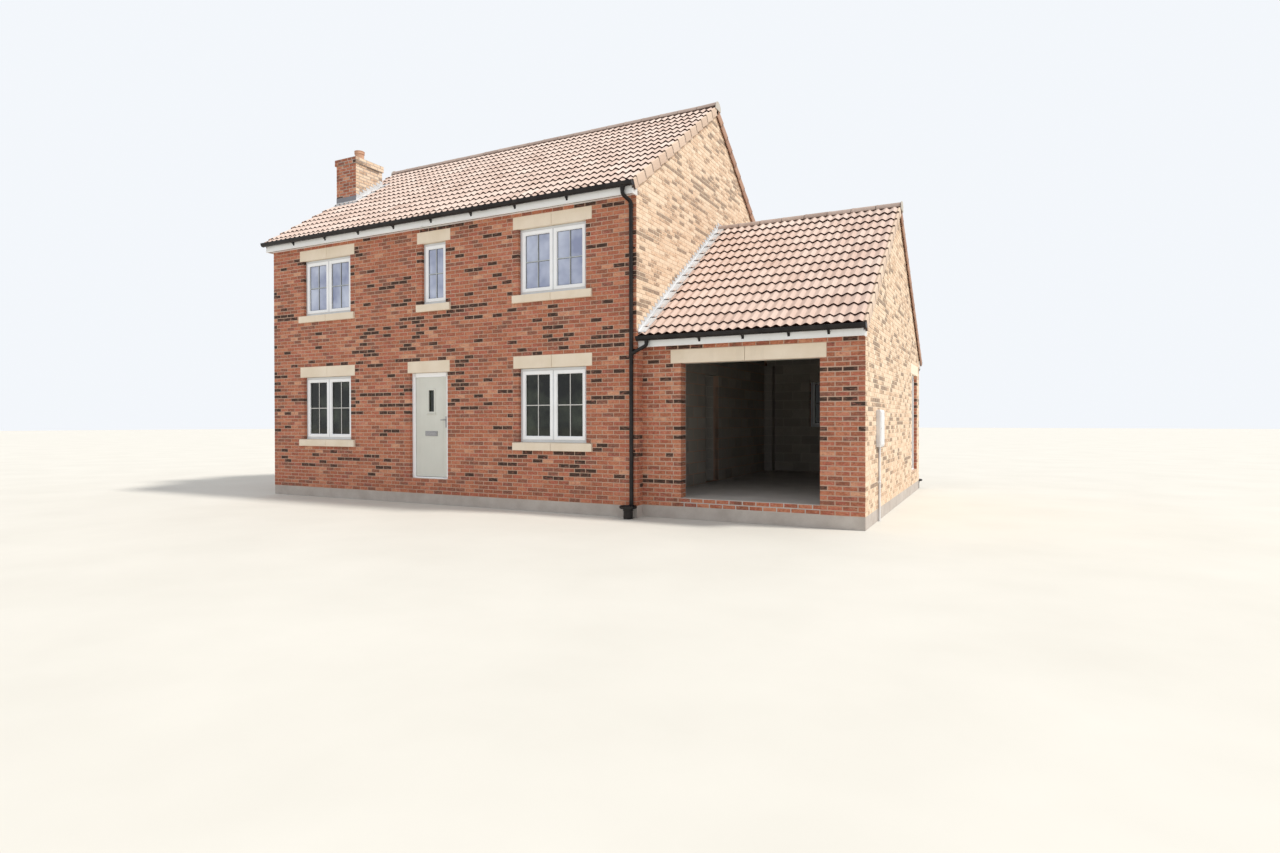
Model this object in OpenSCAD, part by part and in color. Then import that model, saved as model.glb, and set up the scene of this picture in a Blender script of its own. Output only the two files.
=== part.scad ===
// Detached two-storey brick house with a single garage at its side.
// The origin is the centre of the main house on the underside of the foundation.
// The front faces -Y and the garage stands at +X. Heights in courses count from the top of the foundation.

/* [House] */
// Width of the main house across its front
house_w = 9215; // [9035:45:9395]
// Depth of the main house from front face to back face
house_d = 7415; // [7280:45:7550]
// Thickness of the walls of the main house
wall_t = 300; // [275:5:325]
// Height of one brick course with its joint
course = 75; // [74:0.5:76]
// Height of the concrete foundation below the brickwork
base_h = 200; // [150:10:250]
// Courses up to the ground floor and the door thresholds
floor_courses = 4; // [3:1:5]
// Courses up to the heads of the openings on the ground floor
ground_head_courses = 32; // [31:1:33]
// Courses up to the heads of the upper windows
upper_head_courses = 66; // [65:1:68]
// Height of the first floor above the foundation
first_floor_h = 2900; // [2860:10:3000]
// Thickness of the first floor
first_floor_t = 250; // [200:10:270]

/* [Garage] */
// Width of the garage across its front
garage_w = 3690; // [3555:45:3915]
// Depth of the garage from front face to back face
garage_d = 7415; // [7280:45:7550]
// Distance of the garage front behind the house front
garage_setback = 225; // [210:5:240]
// Thickness of the garage walls
garage_wall_t = 215; // [205:5:225]
// Courses up to the garage floor
garage_floor_courses = 2; // [1:1:3]
// Width of the left pier beside the garage opening
left_pier_w = 710; // [600:10:760]
// Width of the garage opening
garage_opening_w = 2310; // [2200:10:2400]
// Width of the open passage between house and garage
passage_w = 760; // [700:10:900]
// Distance of the passage centre behind the house front
passage_y = 3500; // [3000:50:4500]

/* [Windows] */
// Width of the double window openings
double_w = 1450; // [1350:10:1550]
// Width of the narrow window opening
narrow_w = 620; // [560:10:680]
// Courses in the height of a ground floor window opening
ground_window_courses = 18; // [16:1:20]
// Courses in the height of an upper window opening
upper_window_courses = 16; // [14:1:17]
// Distance of the double windows from the middle of the house
window_x = 2895; // [2700:15:2970]
// Position of the narrow upper window
narrow_x = 130; // [0:10:200]
// Distance of the frames behind the wall face
reveal = 65; // [50:5:80]
// Depth of the window frames
frame_d = 70; // [60:5:80]
// Width of the bars of the outer frames
frame_bar = 62; // [50:2:70]
// Width of the mullion in a double window
mullion_w = 66; // [56:2:80]
// Width of the bars of the casements
sash_bar = 62; // [50:2:70]
// Distance that the casements stand proud of their frames
sash_proud = 12; // [6:1:20]
// Overlap of a casement on its outer frame
sash_lap = 10; // [5:1:15]
// Thickness of the glazing
glass_t = 24; // [16:1:28]
// Clearance around frames in their openings
frame_gap = 4; // [2:1:6]

/* [Doors] */
// Width of the front door opening
door_w = 985; // [900:5:1050]
// Position of the front door
door_x = -15; // [-60:5:60]
// Width of the side door opening
side_door_w = 1020; // [900:10:1060]
// Distance of the side door centre from the back face of the garage
side_door_y = 960; // [900:10:1200]
// Courses up to the head of the side door and the passage
side_head_courses = 33; // [32:1:34]
// Width of the bars of the door frames
door_bar = 70; // [60:2:80]
// Depth of the door frames
door_frame_d = 90; // [80:2:100]
// Depth of the stop that the leaf closes behind
stop_t = 15; // [12:1:20]
// Width of the stop that the leaf closes behind
stop_w = 14; // [12:1:18]
// Height of the threshold bar
threshold_t = 30; // [20:1:40]
// Clearance around the door leaves
door_gap = 5; // [5:0.5:7]
// Radius of the hinge barrels
hinge_r = 6; // [5:0.5:7]
// Height of one hinge knuckle
knuckle_h = 40; // [30:1:50]
// Height of the door handles above the threshold
handle_h = 1120; // [1000:10:1200]

/* [Stonework] */
// Courses in the height of a lintel
lintel_courses = 3; // [2:1:3]
// Courses in the height of a sill
sill_courses = 2; // [1:1:2]
// Depth of the stones in the wall
stone_t = 100; // [90:5:110]
// Bearing of the window lintels at each end
lintel_bearing = 115; // [90:5:150]
// Bearing of the door lintel at each end
door_bearing = 52; // [40:2:90]
// Bearing of the side door lintel at each end
side_bearing = 165; // [100:5:180]
// Bearing of the garage lintel on the left pier
garage_bearing_left = 180; // [100:5:200]
// Bearing of the garage lintel on the right pier
garage_bearing_right = 95; // [80:5:150]
// Length of a window sill beyond the opening at each end
sill_bearing = 120; // [90:5:150]
// Distance that the sills stand proud of the wall
sill_proud = 45; // [30:5:60]
// Fall of the weathered top of a sill
sill_fall = 12; // [6:1:20]
// Width of the joint between two stones
stone_joint = 6; // [4:1:10]

/* [Roof] */
// Pitch of both roofs in degrees
pitch = 34.6; // [32:0.2:36]
// Height of the tile surface at the wall face above the lintels
eaves_rise = 403; // [380:1:440]
// Overhang of the tiles in front of the walls
eaves_overhang = 200; // [190:5:215]
// Vertical thickness of the roof with its rafters
roof_v = 180; // [170:5:200]
// Vertical thickness of the tiles at the eaves
tile_v = 60; // [50:5:70]
// Tile courses on each slope
tile_courses = 14; // [12:1:16]
// Width of the verge units beyond the gable
verge_w = 50; // [40:5:60]
// Lap of the verge units on the tiles
verge_lap = 60; // [50:5:90]
// Depth of the verge units below the tile surface
verge_drop = 165; // [150:5:175]
// Height of the verge units above the tile surface
verge_lift = 30; // [20:1:40]
// Step between one verge unit and the next
verge_step = 14; // [8:1:18]
// Radius of the ridge tiles
ridge_r = 125; // [110:5:140]
// Height of the ridge tiles above the meeting tile surfaces
ridge_rise = 90; // [80:5:100]
// Length of one ridge tile
ridge_l = 450; // [400:10:500]
// Mortar joint between ridge tiles
ridge_joint = 6; // [4:1:10]
// Thickness of the caps that close the ends of the ridges
ridge_cap_t = 20; // [12:1:28]
// Distance that these caps stand out round the ridge tiles
ridge_cap_lip = 22; // [10:1:30]
// Depth of these caps below the middle of their round part
ridge_cap_drop = 50; // [30:5:70]

/* [Eaves] */
// Distance of the fascia face in front of the wall
fascia_face = 175; // [165:5:180]
// Thickness of the fascia board
fascia_t = 18; // [15:1:22]
// Height of the main soffit above the lintels
soffit_gap = 63; // [50:1:75]
// Height of the garage soffit above the lintel
garage_soffit_gap = 73; // [60:1:80]
// Thickness of the soffit board
soffit_t = 10; // [8:1:15]
// Drop of the fascia below the soffit
fascia_lip = 20; // [12:1:26]
// Thickness of the plates that close the eaves box at the gables
box_end_t = 20; // [15:1:25]

/* [Rainwater] */
// Radius of the half-round gutters
gutter_r = 56; // [50:1:60]
// Height of the gutter side above its round part
gutter_up = 25; // [20:1:35]
// Thickness of the gutter wall
gutter_t = 3; // [2.5:0.5:4]
// Thickness of the gutter brackets
bracket_t = 3; // [2.5:0.5:4]
// Width of the gutter brackets
bracket_w = 30; // [20:1:40]
// Spacing of the gutter brackets on the main house
bracket_pitch = 985; // [800:5:1100]
// Distance of the last bracket from the gable
bracket_end = 435; // [350:5:500]
// Spacing of the gutter brackets on the garage
garage_bracket_pitch = 735; // [600:5:900]
// Distance of the last garage bracket from the gable
garage_bracket_end = 370; // [300:5:450]
// Gap between the gutter and the tiles above it
gutter_drop = 5; // [3:1:20]
// Length of the gutters beyond the gables
gutter_over = 50; // [40:5:90]
// Diameter of the downpipes
pipe_d = 68; // [60:1:75]
// Gap between a downpipe and the wall
pipe_gap = 6; // [5:1:20]
// Distance of the downpipes from the house corner
pipe_inset = 83; // [70:1:120]
// Spacing of the downpipe clips
clip_pitch = 1500; // [1200:50:1800]
// Diameter of the gully dishes at the feet of the downpipes
gully_d = 300; // [260:5:320]
// Height of the gully dishes above the foundation
gully_h = 15; // [5:1:30]

/* [Chimney] */
// Width of the chimney across the house front
chimney_w = 665; // [600:5:740]
// Depth of the chimney
chimney_d = 820; // [700:10:900]
// Distance of the chimney behind the house front
chimney_y = 1730; // [1500:10:2000]
// Courses up to the top of the chimney
chimney_courses = 105; // [103:1:108]
// Courses in the corbelled band
corbel_courses = 2; // [1:1:3]
// Distance that the corbelled band stands proud
corbel_out = 28; // [15:1:40]
// Outer diameter of the chimney pot at its rim
pot_d = 240; // [200:5:280]
// Height of the chimney pot
pot_h = 300; // [250:10:450]
// Wall of the chimney pot
pot_t = 22; // [15:1:30]
// Height of the mortar bed around the pot
flaunch_h = 45; // [30:5:60]

/* [Flashings] */
// Thickness of the lead
lead_t = 4; // [3:0.5:6]
// Greatest height of the stepped flashing above the tiles
lead_up = 150; // [130:5:180]
// Width of the lead lying on the tiles
lead_foot = 150; // [120:5:180]

/* [Meter] */
// Distance of the meter box behind the garage front
meter_y = 975; // [800:25:1500]
// Width of the meter box
meter_w = 410; // [350:10:450]
// Height of the meter box
meter_h = 600; // [500:10:650]
// Depth of the meter box
meter_d = 80; // [50:5:120]
// Height of the meter box above the foundation
meter_z = 1010; // [900:10:1100]
// Diameter of the conduit below the meter box
conduit_d = 38; // [30:1:50]

/* [Hidden] */
$fn = 48;
cut = 1;                                   // overrun of cutting solids
seat_gap = 0.3;                            // thin bed between slanted faces that rest on each other
hw = house_w / 2;
hd = house_d / 2;
gd = garage_d / 2;
garage_front = -hd + garage_setback;
garage_back = garage_front + garage_d;
garage_mid = garage_front + gd;
garage_right = hw + garage_w;

floor_z = base_h + floor_courses * course;
garage_floor_z = base_h + garage_floor_courses * course;
ground_head_z = base_h + ground_head_courses * course;
ground_sill_z = ground_head_z - ground_window_courses * course;
upper_head_z = base_h + upper_head_courses * course;
upper_sill_z = upper_head_z - upper_window_courses * course;
side_head_z = base_h + side_head_courses * course;
lintel_h = lintel_courses * course;
sill_h = sill_courses * course;
main_soffit_z = upper_head_z + lintel_h + soffit_gap;
garage_soffit_z = ground_head_z + lintel_h + garage_soffit_gap;
main_z = upper_head_z + lintel_h + eaves_rise;       // tile surface at the main wall face
garage_z = ground_head_z + lintel_h + eaves_rise;    // tile surface at the garage wall face

// An opening is [middle, width, bottom, head].
lower_left = [-window_x, double_w, ground_sill_z, ground_head_z];
lower_right = [window_x, double_w, ground_sill_z, ground_head_z];
upper_left = [-window_x, double_w, upper_sill_z, upper_head_z];
upper_centre = [narrow_x, narrow_w, upper_sill_z, upper_head_z];
upper_right = [window_x, double_w, upper_sill_z, upper_head_z];
front_windows = [lower_left, lower_right, upper_left, upper_centre, upper_right];
front_opening = [door_x, door_w, floor_z, ground_head_z];
garage_opening_x = hw + left_pier_w + garage_opening_w / 2;
garage_opening = [garage_opening_x, garage_opening_w, garage_floor_z, ground_head_z];
garage_window = [hw + garage_w / 2, double_w, side_head_z - upper_window_courses * course, side_head_z];
side_y = garage_back - side_door_y;
side_opening = [side_y, side_door_w, floor_z, side_head_z];

door_inner_w = door_w - 2 * frame_gap - 2 * door_bar;
side_inner_w = side_door_w - 2 * frame_gap - 2 * door_bar;
front_door_h = ground_head_z - floor_z;
side_door_h = side_head_z - floor_z;
leaf_t = door_frame_d - stop_t - door_gap;
hinge_out = hinge_r + 2;                   // hinge axis beyond the inner face of the leaf
hinge_play = 0.3;                          // gap between the knuckles of one hinge
hinge_plate = [30, 3];                     // reach and thickness of a hinge plate
hinge_heights = [200, 900, 1600];

chimney_front = -hd + chimney_y;
chimney_back = chimney_front + chimney_d;
chimney_top = base_h + chimney_courses * course;

gutter_out = fascia_face + bracket_t + gutter_r;     // gutter middle in front of the wall face
pipe_out = pipe_gap + pipe_d / 2;                    // pipe middle in front of the wall face

BRICK = "#9b5242";
STONE = "#d8c6a4";
TILE = "#c98f78";
WHITE = "#f1f0ec";
BLACK = "#2a2a2c";
LEAD = "#b4b8bd";
CONCRETE = "#a8a49c";
BLOCK = "#9d9c98";
CLAY = "#c08a6c";
GLASS = "#9fb2c4";
STEEL = "#c9cbcc";

// Helpers

// Height of a roof surface at y, measured from the ridge line, over walls that stand half apart.
function roof_z(half, face_z, y) = face_z + tan(pitch) * (half - abs(y));

// Place on the front slope where the roof surface reaches height z.
function slope_y(half, face_z, z) = (z - face_z) / tan(pitch) - half;

// A box between two corners.
module block(x0, x1, y0, y1, z0, z1) {
    translate([x0, y0, z0]) cube([x1 - x0, y1 - y0, z1 - z0]);
}

// Extrudes an outline drawn in Y and Z along X.
module along_x(x0, x1) {
    translate([x0, 0, 0]) rotate([90, 0, 90]) linear_extrude(x1 - x0) children();
}

// The same thing again on the other side of the plane through the origin.
module both_sides(axis) {
    children();
    mirror(axis) children();
}

// A straight round bar from p to q.
module bar(p, q, d) {
    v = q - p;
    translate(p) rotate([0, acos(v[2] / norm(v)), atan2(v[1], v[0])]) cylinder(h = norm(v), d = d);
}

// A bar that bends at each of its points, in round elbows of diameter elbow_d.
module bent_bar(points, d, elbow_d) {
    for (i = [0:len(points) - 2]) {
        bar(points[i], points[i + 1], d);
    }
    for (i = [1:len(points) - 2]) {
        translate(points[i]) sphere(d = elbow_d);
    }
}

// Openings and their stones, all drawn for a wall whose outer face is y = 0 and faces -Y.

module opening(o, t) {
    block(o[0] - o[1] / 2, o[0] + o[1] / 2, -cut, t + cut, o[2], o[3]);
}

module lintel(o, left, right, split = 0) {
    x0 = o[0] - o[1] / 2 - left;
    x1 = o[0] + o[1] / 2 + right;
    difference() {
        block(x0, x1, 0, stone_t, o[3], o[3] + lintel_h);
        if (split > 0) {
            block((x0 + x1 - split) / 2, (x0 + x1 + split) / 2, -cut, stone_t + cut, o[3] - cut, o[3] + lintel_h + cut);
        }
    }
}

module sill(o, split = 0) {
    length = o[1] + 2 * sill_bearing;
    difference() {
        along_x(o[0] - length / 2, o[0] + length / 2) polygon([
            [-sill_proud, o[2] - sill_h],
            [stone_t, o[2] - sill_h],
            [stone_t, o[2]],
            [reveal - sash_proud, o[2]],
            [-sill_proud, o[2] - sill_fall]
        ]);
        if (split > 0) {
            block(o[0] - split / 2, o[0] + split / 2, -sill_proud - cut, stone_t + cut, o[2] - sill_h - cut, o[2] + cut);
        }
    }
}

// Room for a sill in the wall, up to the level bed of the frame.
module sill_seat(o) {
    length = o[1] + 2 * sill_bearing;
    block(o[0] - length / 2, o[0] + length / 2, -cut, stone_t, o[2] - sill_h, o[2]);
}

module window_space(o, t) {
    opening(o, t);
    lintel(o, lintel_bearing, lintel_bearing);
    sill_seat(o);
}

function split_of(o) = o[1] > 2 * narrow_w ? stone_joint : 0;

module window_stones_above(o) {
    lintel(o, lintel_bearing, lintel_bearing, split_of(o));
}

// Walls of the main house

// Top of a wall under the roof at y.
function wall_top(half, face_z, y) = roof_z(half, face_z, y) - roof_v - seat_gap;

module wall_profile(half, face_z, t) {
    polygon([
        [-half, base_h],
        [-half + t, base_h],
        [-half + t, wall_top(half, face_z, -half + t)],
        [-half, wall_top(half, face_z, -half)]
    ]);
}

module gable_profile(half, face_z, t, bottom) {
    polygon([
        [-half + t, bottom],
        [half - t, bottom],
        [half - t, wall_top(half, face_z, half - t)],
        [0, wall_top(half, face_z, 0)],
        [-half + t, wall_top(half, face_z, -half + t)]
    ]);
}

module front_spaces() {
    translate([0, -hd, 0]) {
        for (o = front_windows) {
            window_space(o, wall_t);
        }
        lintel(front_opening, door_bearing, door_bearing);
    }
}

module front_strip(x0, x1) {
    difference() {
        along_x(x0, x1) wall_profile(hd, main_z, wall_t);
        front_spaces();
    }
}

module foundation() {
    color(CONCRETE) {
        block(-hw, hw, -hd, hd, 0, base_h);
        block(hw, garage_right, garage_front, garage_back, 0, base_h);
    }
}

module ground_floor() {
    color(CONCRETE) block(-hw + wall_t, hw - wall_t, -hd + wall_t, hd - wall_t, base_h, floor_z);
}

module garage_floor() {
    color(CONCRETE) difference() {
        union() {
            block(hw, garage_right - garage_wall_t, garage_front + garage_wall_t, garage_back - garage_wall_t,
                base_h, garage_floor_z);
            block(garage_opening_x - garage_opening_w / 2, garage_opening_x + garage_opening_w / 2,
                garage_front, garage_front + garage_wall_t, base_h, garage_floor_z);
        }
        corner_pier(base_h - cut, garage_floor_z + cut);
    }
}

module first_floor() {
    color("#b59a78") block(-hw + wall_t, hw - wall_t, -hd + wall_t, hd - wall_t,
        base_h + first_floor_h - first_floor_t, base_h + first_floor_h);
}

module front_wall_left() {
    color(BRICK) front_strip(-hw, door_x - door_w / 2);
}

module front_wall_centre() {
    color(BRICK) difference() {
        front_strip(door_x - door_w / 2, door_x + door_w / 2);
        translate([0, -hd, 0]) opening(front_opening, wall_t);
    }
}

module front_wall_right() {
    color(BRICK) front_strip(door_x + door_w / 2, hw);
}

module back_wall() {
    color(BRICK) mirror([0, 1, 0]) difference() {
        along_x(-hw, hw) wall_profile(hd, main_z, wall_t);
        translate([0, -hd, 0]) for (o = front_windows) {
            window_space(o, wall_t);
        }
    }
}

module left_gable_wall() {
    color(BRICK) along_x(-hw, -hw + wall_t) gable_profile(hd, main_z, wall_t, base_h);
}

module right_gable_wall() {
    middle = -hd + passage_y;
    color(BRICK) difference() {
        along_x(hw - wall_t, hw) gable_profile(hd, main_z, wall_t, base_h);
        block(hw - wall_t - cut, hw + cut, middle - passage_w / 2, middle + passage_w / 2,
            garage_floor_z, side_head_z);
    }
}

// Walls of the garage

module garage_front_spaces() {
    translate([0, garage_front, 0]) lintel(garage_opening, garage_bearing_left, garage_bearing_right);
}

module garage_piers() {
    color(BRICK) {
        block(hw, garage_opening_x - garage_opening_w / 2, garage_front, garage_front + garage_wall_t,
            base_h, ground_head_z);
        block(garage_opening_x + garage_opening_w / 2, garage_right, garage_front, garage_front + garage_wall_t,
            base_h, ground_head_z);
    }
}

module garage_front_head() {
    color(BRICK) difference() {
        intersection() {
            translate([0, garage_mid, 0]) along_x(hw, garage_right) wall_profile(gd, garage_z, garage_wall_t);
            block(hw, garage_right, garage_front, garage_mid, ground_head_z, garage_z);
        }
        garage_front_spaces();
    }
}

// Turns a piece drawn for a front wall so that it fits the right wall of the garage, where X becomes Y.
module on_garage_side() {
    translate([garage_right, 0, 0]) rotate([0, 0, 90]) children();
}

module garage_side_wall() {
    color(BRICK) difference() {
        block(garage_right - garage_wall_t, garage_right, garage_front + garage_wall_t, garage_back - garage_wall_t,
            base_h, side_head_z);
        on_garage_side() opening(side_opening, garage_wall_t);
    }
}

module garage_gable() {
    color(BRICK) difference() {
        translate([0, garage_mid, 0]) along_x(garage_right - garage_wall_t, garage_right)
            gable_profile(gd, garage_z, garage_wall_t, side_head_z);
        on_garage_side() lintel(side_opening, side_bearing, side_bearing);
    }
}

// Pier in the rear corner, where the garage wall meets the house.
module corner_pier(z0, z1) {
    block(hw, hw + garage_wall_t, hd - garage_wall_t, garage_back - garage_wall_t, z0, z1);
}

module garage_back_spaces() {
    translate([0, garage_back, 0]) mirror([0, 1, 0]) window_space(garage_window, garage_wall_t);
}

module garage_back_wall() {
    color(BRICK) {
        difference() {
            translate([0, garage_mid, 0]) mirror([0, 1, 0]) along_x(hw, garage_right)
                wall_profile(gd, garage_z, garage_wall_t);
            garage_back_spaces();
        }
        corner_pier(base_h, garage_z - roof_v);
    }
}

// Stonework

module stone_lintels() {
    color(STONE) {
        both_sides([0, 1, 0]) translate([0, -hd, 0]) for (o = front_windows) {
            window_stones_above(o);
        }
        translate([0, -hd, 0]) lintel(front_opening, door_bearing, door_bearing);
        translate([0, garage_front, 0]) lintel(garage_opening, garage_bearing_left, garage_bearing_right, stone_joint);
        translate([0, garage_back, 0]) mirror([0, 1, 0]) window_stones_above(garage_window);
        on_garage_side() lintel(side_opening, side_bearing, side_bearing);
    }
}

module stone_sills() {
    color(STONE) {
        both_sides([0, 1, 0]) translate([0, -hd, 0]) for (o = front_windows) {
            sill(o, split_of(o));
        }
        translate([0, garage_back, 0]) mirror([0, 1, 0]) sill(garage_window, split_of(garage_window));
    }
}

// Windows

// Calls its child once for each light, with $x, $w and $h as its middle, width and height.
module each_light(o) {
    count = o[1] > 2 * narrow_w ? 2 : 1;
    cell_w = (o[1] - 2 * frame_gap - 2 * frame_bar - (count - 1) * mullion_w) / count;
    for (i = [0:count - 1]) {
        $x = o[0] + (i - (count - 1) / 2) * (cell_w + mullion_w);
        $w = cell_w;
        $h = o[3] - o[2] - frame_gap - 2 * frame_bar;
        $z = o[2] + frame_bar;
        children();
    }
}

module pane_shape(y0, y1) {
    block($x - $w / 2 + sash_bar, $x + $w / 2 - sash_bar, y0, y1, $z + sash_bar, $z + $h - sash_bar);
}

module window_unit(o) {
    difference() {
        union() {
            block(o[0] - o[1] / 2 + frame_gap, o[0] + o[1] / 2 - frame_gap, reveal, reveal + frame_d,
                o[2], o[3] - frame_gap);
            each_light(o) block($x - $w / 2 - sash_lap, $x + $w / 2 + sash_lap, reveal - sash_proud, reveal,
                $z - sash_lap, $z + $h + sash_lap);
        }
        each_light(o) pane_shape(reveal - sash_proud - cut, reveal + frame_d + cut);
    }
}

module glazing(o) {
    middle = reveal + frame_d / 2;
    each_light(o) pane_shape(middle - glass_t / 2, middle + glass_t / 2);
}

module lower_left_window() {
    color(WHITE) translate([0, -hd, 0]) window_unit(lower_left);
}

module lower_right_window() {
    color(WHITE) translate([0, -hd, 0]) window_unit(lower_right);
}

module upper_left_window() {
    color(WHITE) translate([0, -hd, 0]) window_unit(upper_left);
}

module upper_centre_window() {
    color(WHITE) translate([0, -hd, 0]) window_unit(upper_centre);
}

module upper_right_window() {
    color(WHITE) translate([0, -hd, 0]) window_unit(upper_right);
}

module front_glass() {
    color(GLASS) translate([0, -hd, 0]) for (o = front_windows) {
        glazing(o);
    }
}

module back_windows() {
    color(WHITE) {
        translate([0, hd, 0]) mirror([0, 1, 0]) for (o = front_windows) {
            window_unit(o);
        }
        translate([0, garage_back, 0]) mirror([0, 1, 0]) window_unit(garage_window);
    }
}

module back_glass() {
    color(GLASS) {
        translate([0, hd, 0]) mirror([0, 1, 0]) for (o = front_windows) {
            glazing(o);
        }
        translate([0, garage_back, 0]) mirror([0, 1, 0]) glazing(garage_window);
    }
}

// Doors, drawn with their middle at x = 0, the frame's outer face at y = 0 and the threshold at z = 0.
// The hinges are at the left.

module hinge_half(inner_w, z, side) {
    x = -inner_w / 2 + door_gap / 2;
    translate([x, door_frame_d + hinge_out, z]) cylinder(h = knuckle_h, r = hinge_r);
    x0 = side < 0 ? x - hinge_plate[0] : x;
    block(x0, x0 + hinge_plate[0], door_frame_d, door_frame_d + hinge_plate[1], z, z + knuckle_h);
}

module hinge_link(inner_w, z, side) {
    x = -inner_w / 2 + door_gap / 2;
    x0 = side < 0 ? x - hinge_r : x;
    block(x0, x0 + hinge_r, door_frame_d + hinge_plate[1], door_frame_d + hinge_out, z, z + knuckle_h);
}

module frame_hinges(inner_w) {
    for (z = hinge_heights) {
        hinge_half(inner_w, z, -1);
        hinge_link(inner_w, z, -1);
    }
}

module leaf_hinges(inner_w) {
    for (z = hinge_heights) {
        hinge_half(inner_w, z + knuckle_h + hinge_play, 1);
        hinge_link(inner_w, z + knuckle_h + hinge_play, 1);
    }
}

module door_frame(w, inner_w, h) {
    inner_top = h - frame_gap - door_bar;
    difference() {
        block(-w / 2 + frame_gap, w / 2 - frame_gap, 0, door_frame_d, 0, h - frame_gap);
        block(-inner_w / 2, inner_w / 2, stop_t, door_frame_d + cut, threshold_t, inner_top);
        block(-inner_w / 2 + stop_w, inner_w / 2 - stop_w, -cut, door_frame_d, threshold_t, inner_top - stop_w);
    }
    frame_hinges(inner_w);
}

module door_slab(inner_w, h) {
    top = h - frame_gap - door_bar - door_gap;
    block(-inner_w / 2 + door_gap, inner_w / 2 - door_gap, stop_t + door_gap, door_frame_d,
        threshold_t + door_gap, top);
}

// A lever on a narrow plate, on a face at y = 0 that looks to -Y. The lever points to -X.
lever_plate = [30, 220, 8];
lever = [105, 20, 42];
module lever_handle() {
    block(-lever_plate[0] / 2, lever_plate[0] / 2, -lever_plate[2], 0, -lever_plate[1] / 2, lever_plate[1] / 2);
    bent_bar([[0, 0, 40], [0, -lever[2], 40], [-lever[0], -lever[2], 40]], lever[1], lever[1] + 1);
}

module door_levers(inner_w, x) {
    translate([x, stop_t + door_gap, handle_h]) lever_handle();
    translate([x, door_frame_d, handle_h]) mirror([0, 1, 0]) lever_handle();
}

module at_front_door() {
    translate([door_x, -hd + reveal, floor_z]) children();
}

module at_side_door() {
    on_garage_side() translate([side_y, reveal, floor_z]) mirror([1, 0, 0]) children();
}

// Glazed slot and letter plate of the front door.
slot_w = 150;
slot_z = [1318, 1757];
letter_w = 313;
letter_z = [843, 940];
letter_proud = 12;
backset = 36;

module slot_shape(y0, y1) {
    block(-slot_w / 2, slot_w / 2, y0, y1, slot_z[0], slot_z[1]);
}

module front_door_frame() {
    color(WHITE) at_front_door() door_frame(door_w, door_inner_w, front_door_h);
}

module front_door_leaf() {
    color("#c3c2b4") at_front_door() difference() {
        door_slab(door_inner_w, front_door_h);
        slot_shape(0, door_frame_d + cut);
    }
}

module front_door_glass() {
    middle = stop_t + door_gap + leaf_t / 2;
    color(GLASS) at_front_door() slot_shape(middle - glass_t / 2, middle + glass_t / 2);
}

module front_door_furniture() {
    face = stop_t + door_gap;
    color(STEEL) at_front_door() {
        leaf_hinges(door_inner_w);
        door_levers(door_inner_w, door_inner_w / 2 - door_gap - backset);
        block(-letter_w / 2, letter_w / 2, face - letter_proud, face, letter_z[0], letter_z[1]);
        block(-letter_w / 2, letter_w / 2, door_frame_d, door_frame_d + letter_proud, letter_z[0], letter_z[1]);
    }
}

module side_door_frame() {
    color(WHITE) at_side_door() door_frame(side_door_w, side_inner_w, side_door_h);
}

module side_door_leaf() {
    color(WHITE) at_side_door() door_slab(side_inner_w, side_door_h);
}

module side_door_handle() {
    color(STEEL) at_side_door() {
        leaf_hinges(side_inner_w);
        door_levers(side_inner_w, side_inner_w / 2 - door_gap - backset);
    }
}

// Roofs, drawn for the front slope with the ridge over y = 0

module slope_profile(half, face_z) {
    tip = -half - eaves_overhang;
    back = -half - fascia_face + fascia_t;
    polygon([
        [tip, roof_z(half, face_z, tip)],
        [tip, roof_z(half, face_z, tip) - tile_v],
        [back, roof_z(half, face_z, back) - tile_v],
        [back, roof_z(half, face_z, back) - roof_v],
        [0, roof_z(half, face_z, 0) - roof_v],
        [0, roof_z(half, face_z, 0)]
    ]);
}

module main_slope() {
    along_x(-hw, hw) slope_profile(hd, main_z);
}

module garage_slope() {
    along_x(hw, garage_right) slope_profile(gd, garage_z);
}

// Everything in the footprint of the chimney, out to the verge.
module chimney_space() {
    block(-hw - verge_w - cut, -hw + chimney_w, chimney_front, chimney_back, 0, chimney_top);
}

module main_roof_front() {
    color(TILE) difference() {
        main_slope();
        chimney_space();
    }
}

module main_roof_back() {
    color(TILE) mirror([0, 1, 0]) main_slope();
}

module garage_roof_front() {
    color(TILE) translate([0, garage_mid, 0]) garage_slope();
}

module garage_roof_back() {
    color(TILE) translate([0, garage_mid, 0]) mirror([0, 1, 0]) garage_slope();
}

// Section of a ridge tile. With grow it is the space that pieces beside the ridge leave for it.
module ridge_profile(half, face_z, grow = 0) {
    apex = roof_z(half, face_z, 0) + seat_gap - grow;
    side = 2 * ridge_r;
    foot = roof_z(half, face_z, side) + seat_gap - grow;
    middle = roof_z(half, face_z, 0) + ridge_rise - ridge_r;
    difference() {
        union() {
            translate([0, middle]) circle(ridge_r + grow);
            translate([-ridge_r - grow, middle - ridge_r]) square([side + 2 * grow, ridge_r]);
        }
        polygon([
            [-side, foot],
            [0, apex],
            [side, foot],
            [side, apex - 2 * side],
            [-side, apex - 2 * side]
        ]);
    }
}

module ridge_run(x0, x1, half, face_z) {
    count = round((x1 - x0) / ridge_l);
    length = (x1 - x0) / count;
    for (i = [0:count - 1]) {
        along_x(x0 + i * length + ridge_joint / 2, x0 + (i + 1) * length - ridge_joint / 2) ridge_profile(half, face_z);
    }
}

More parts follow.
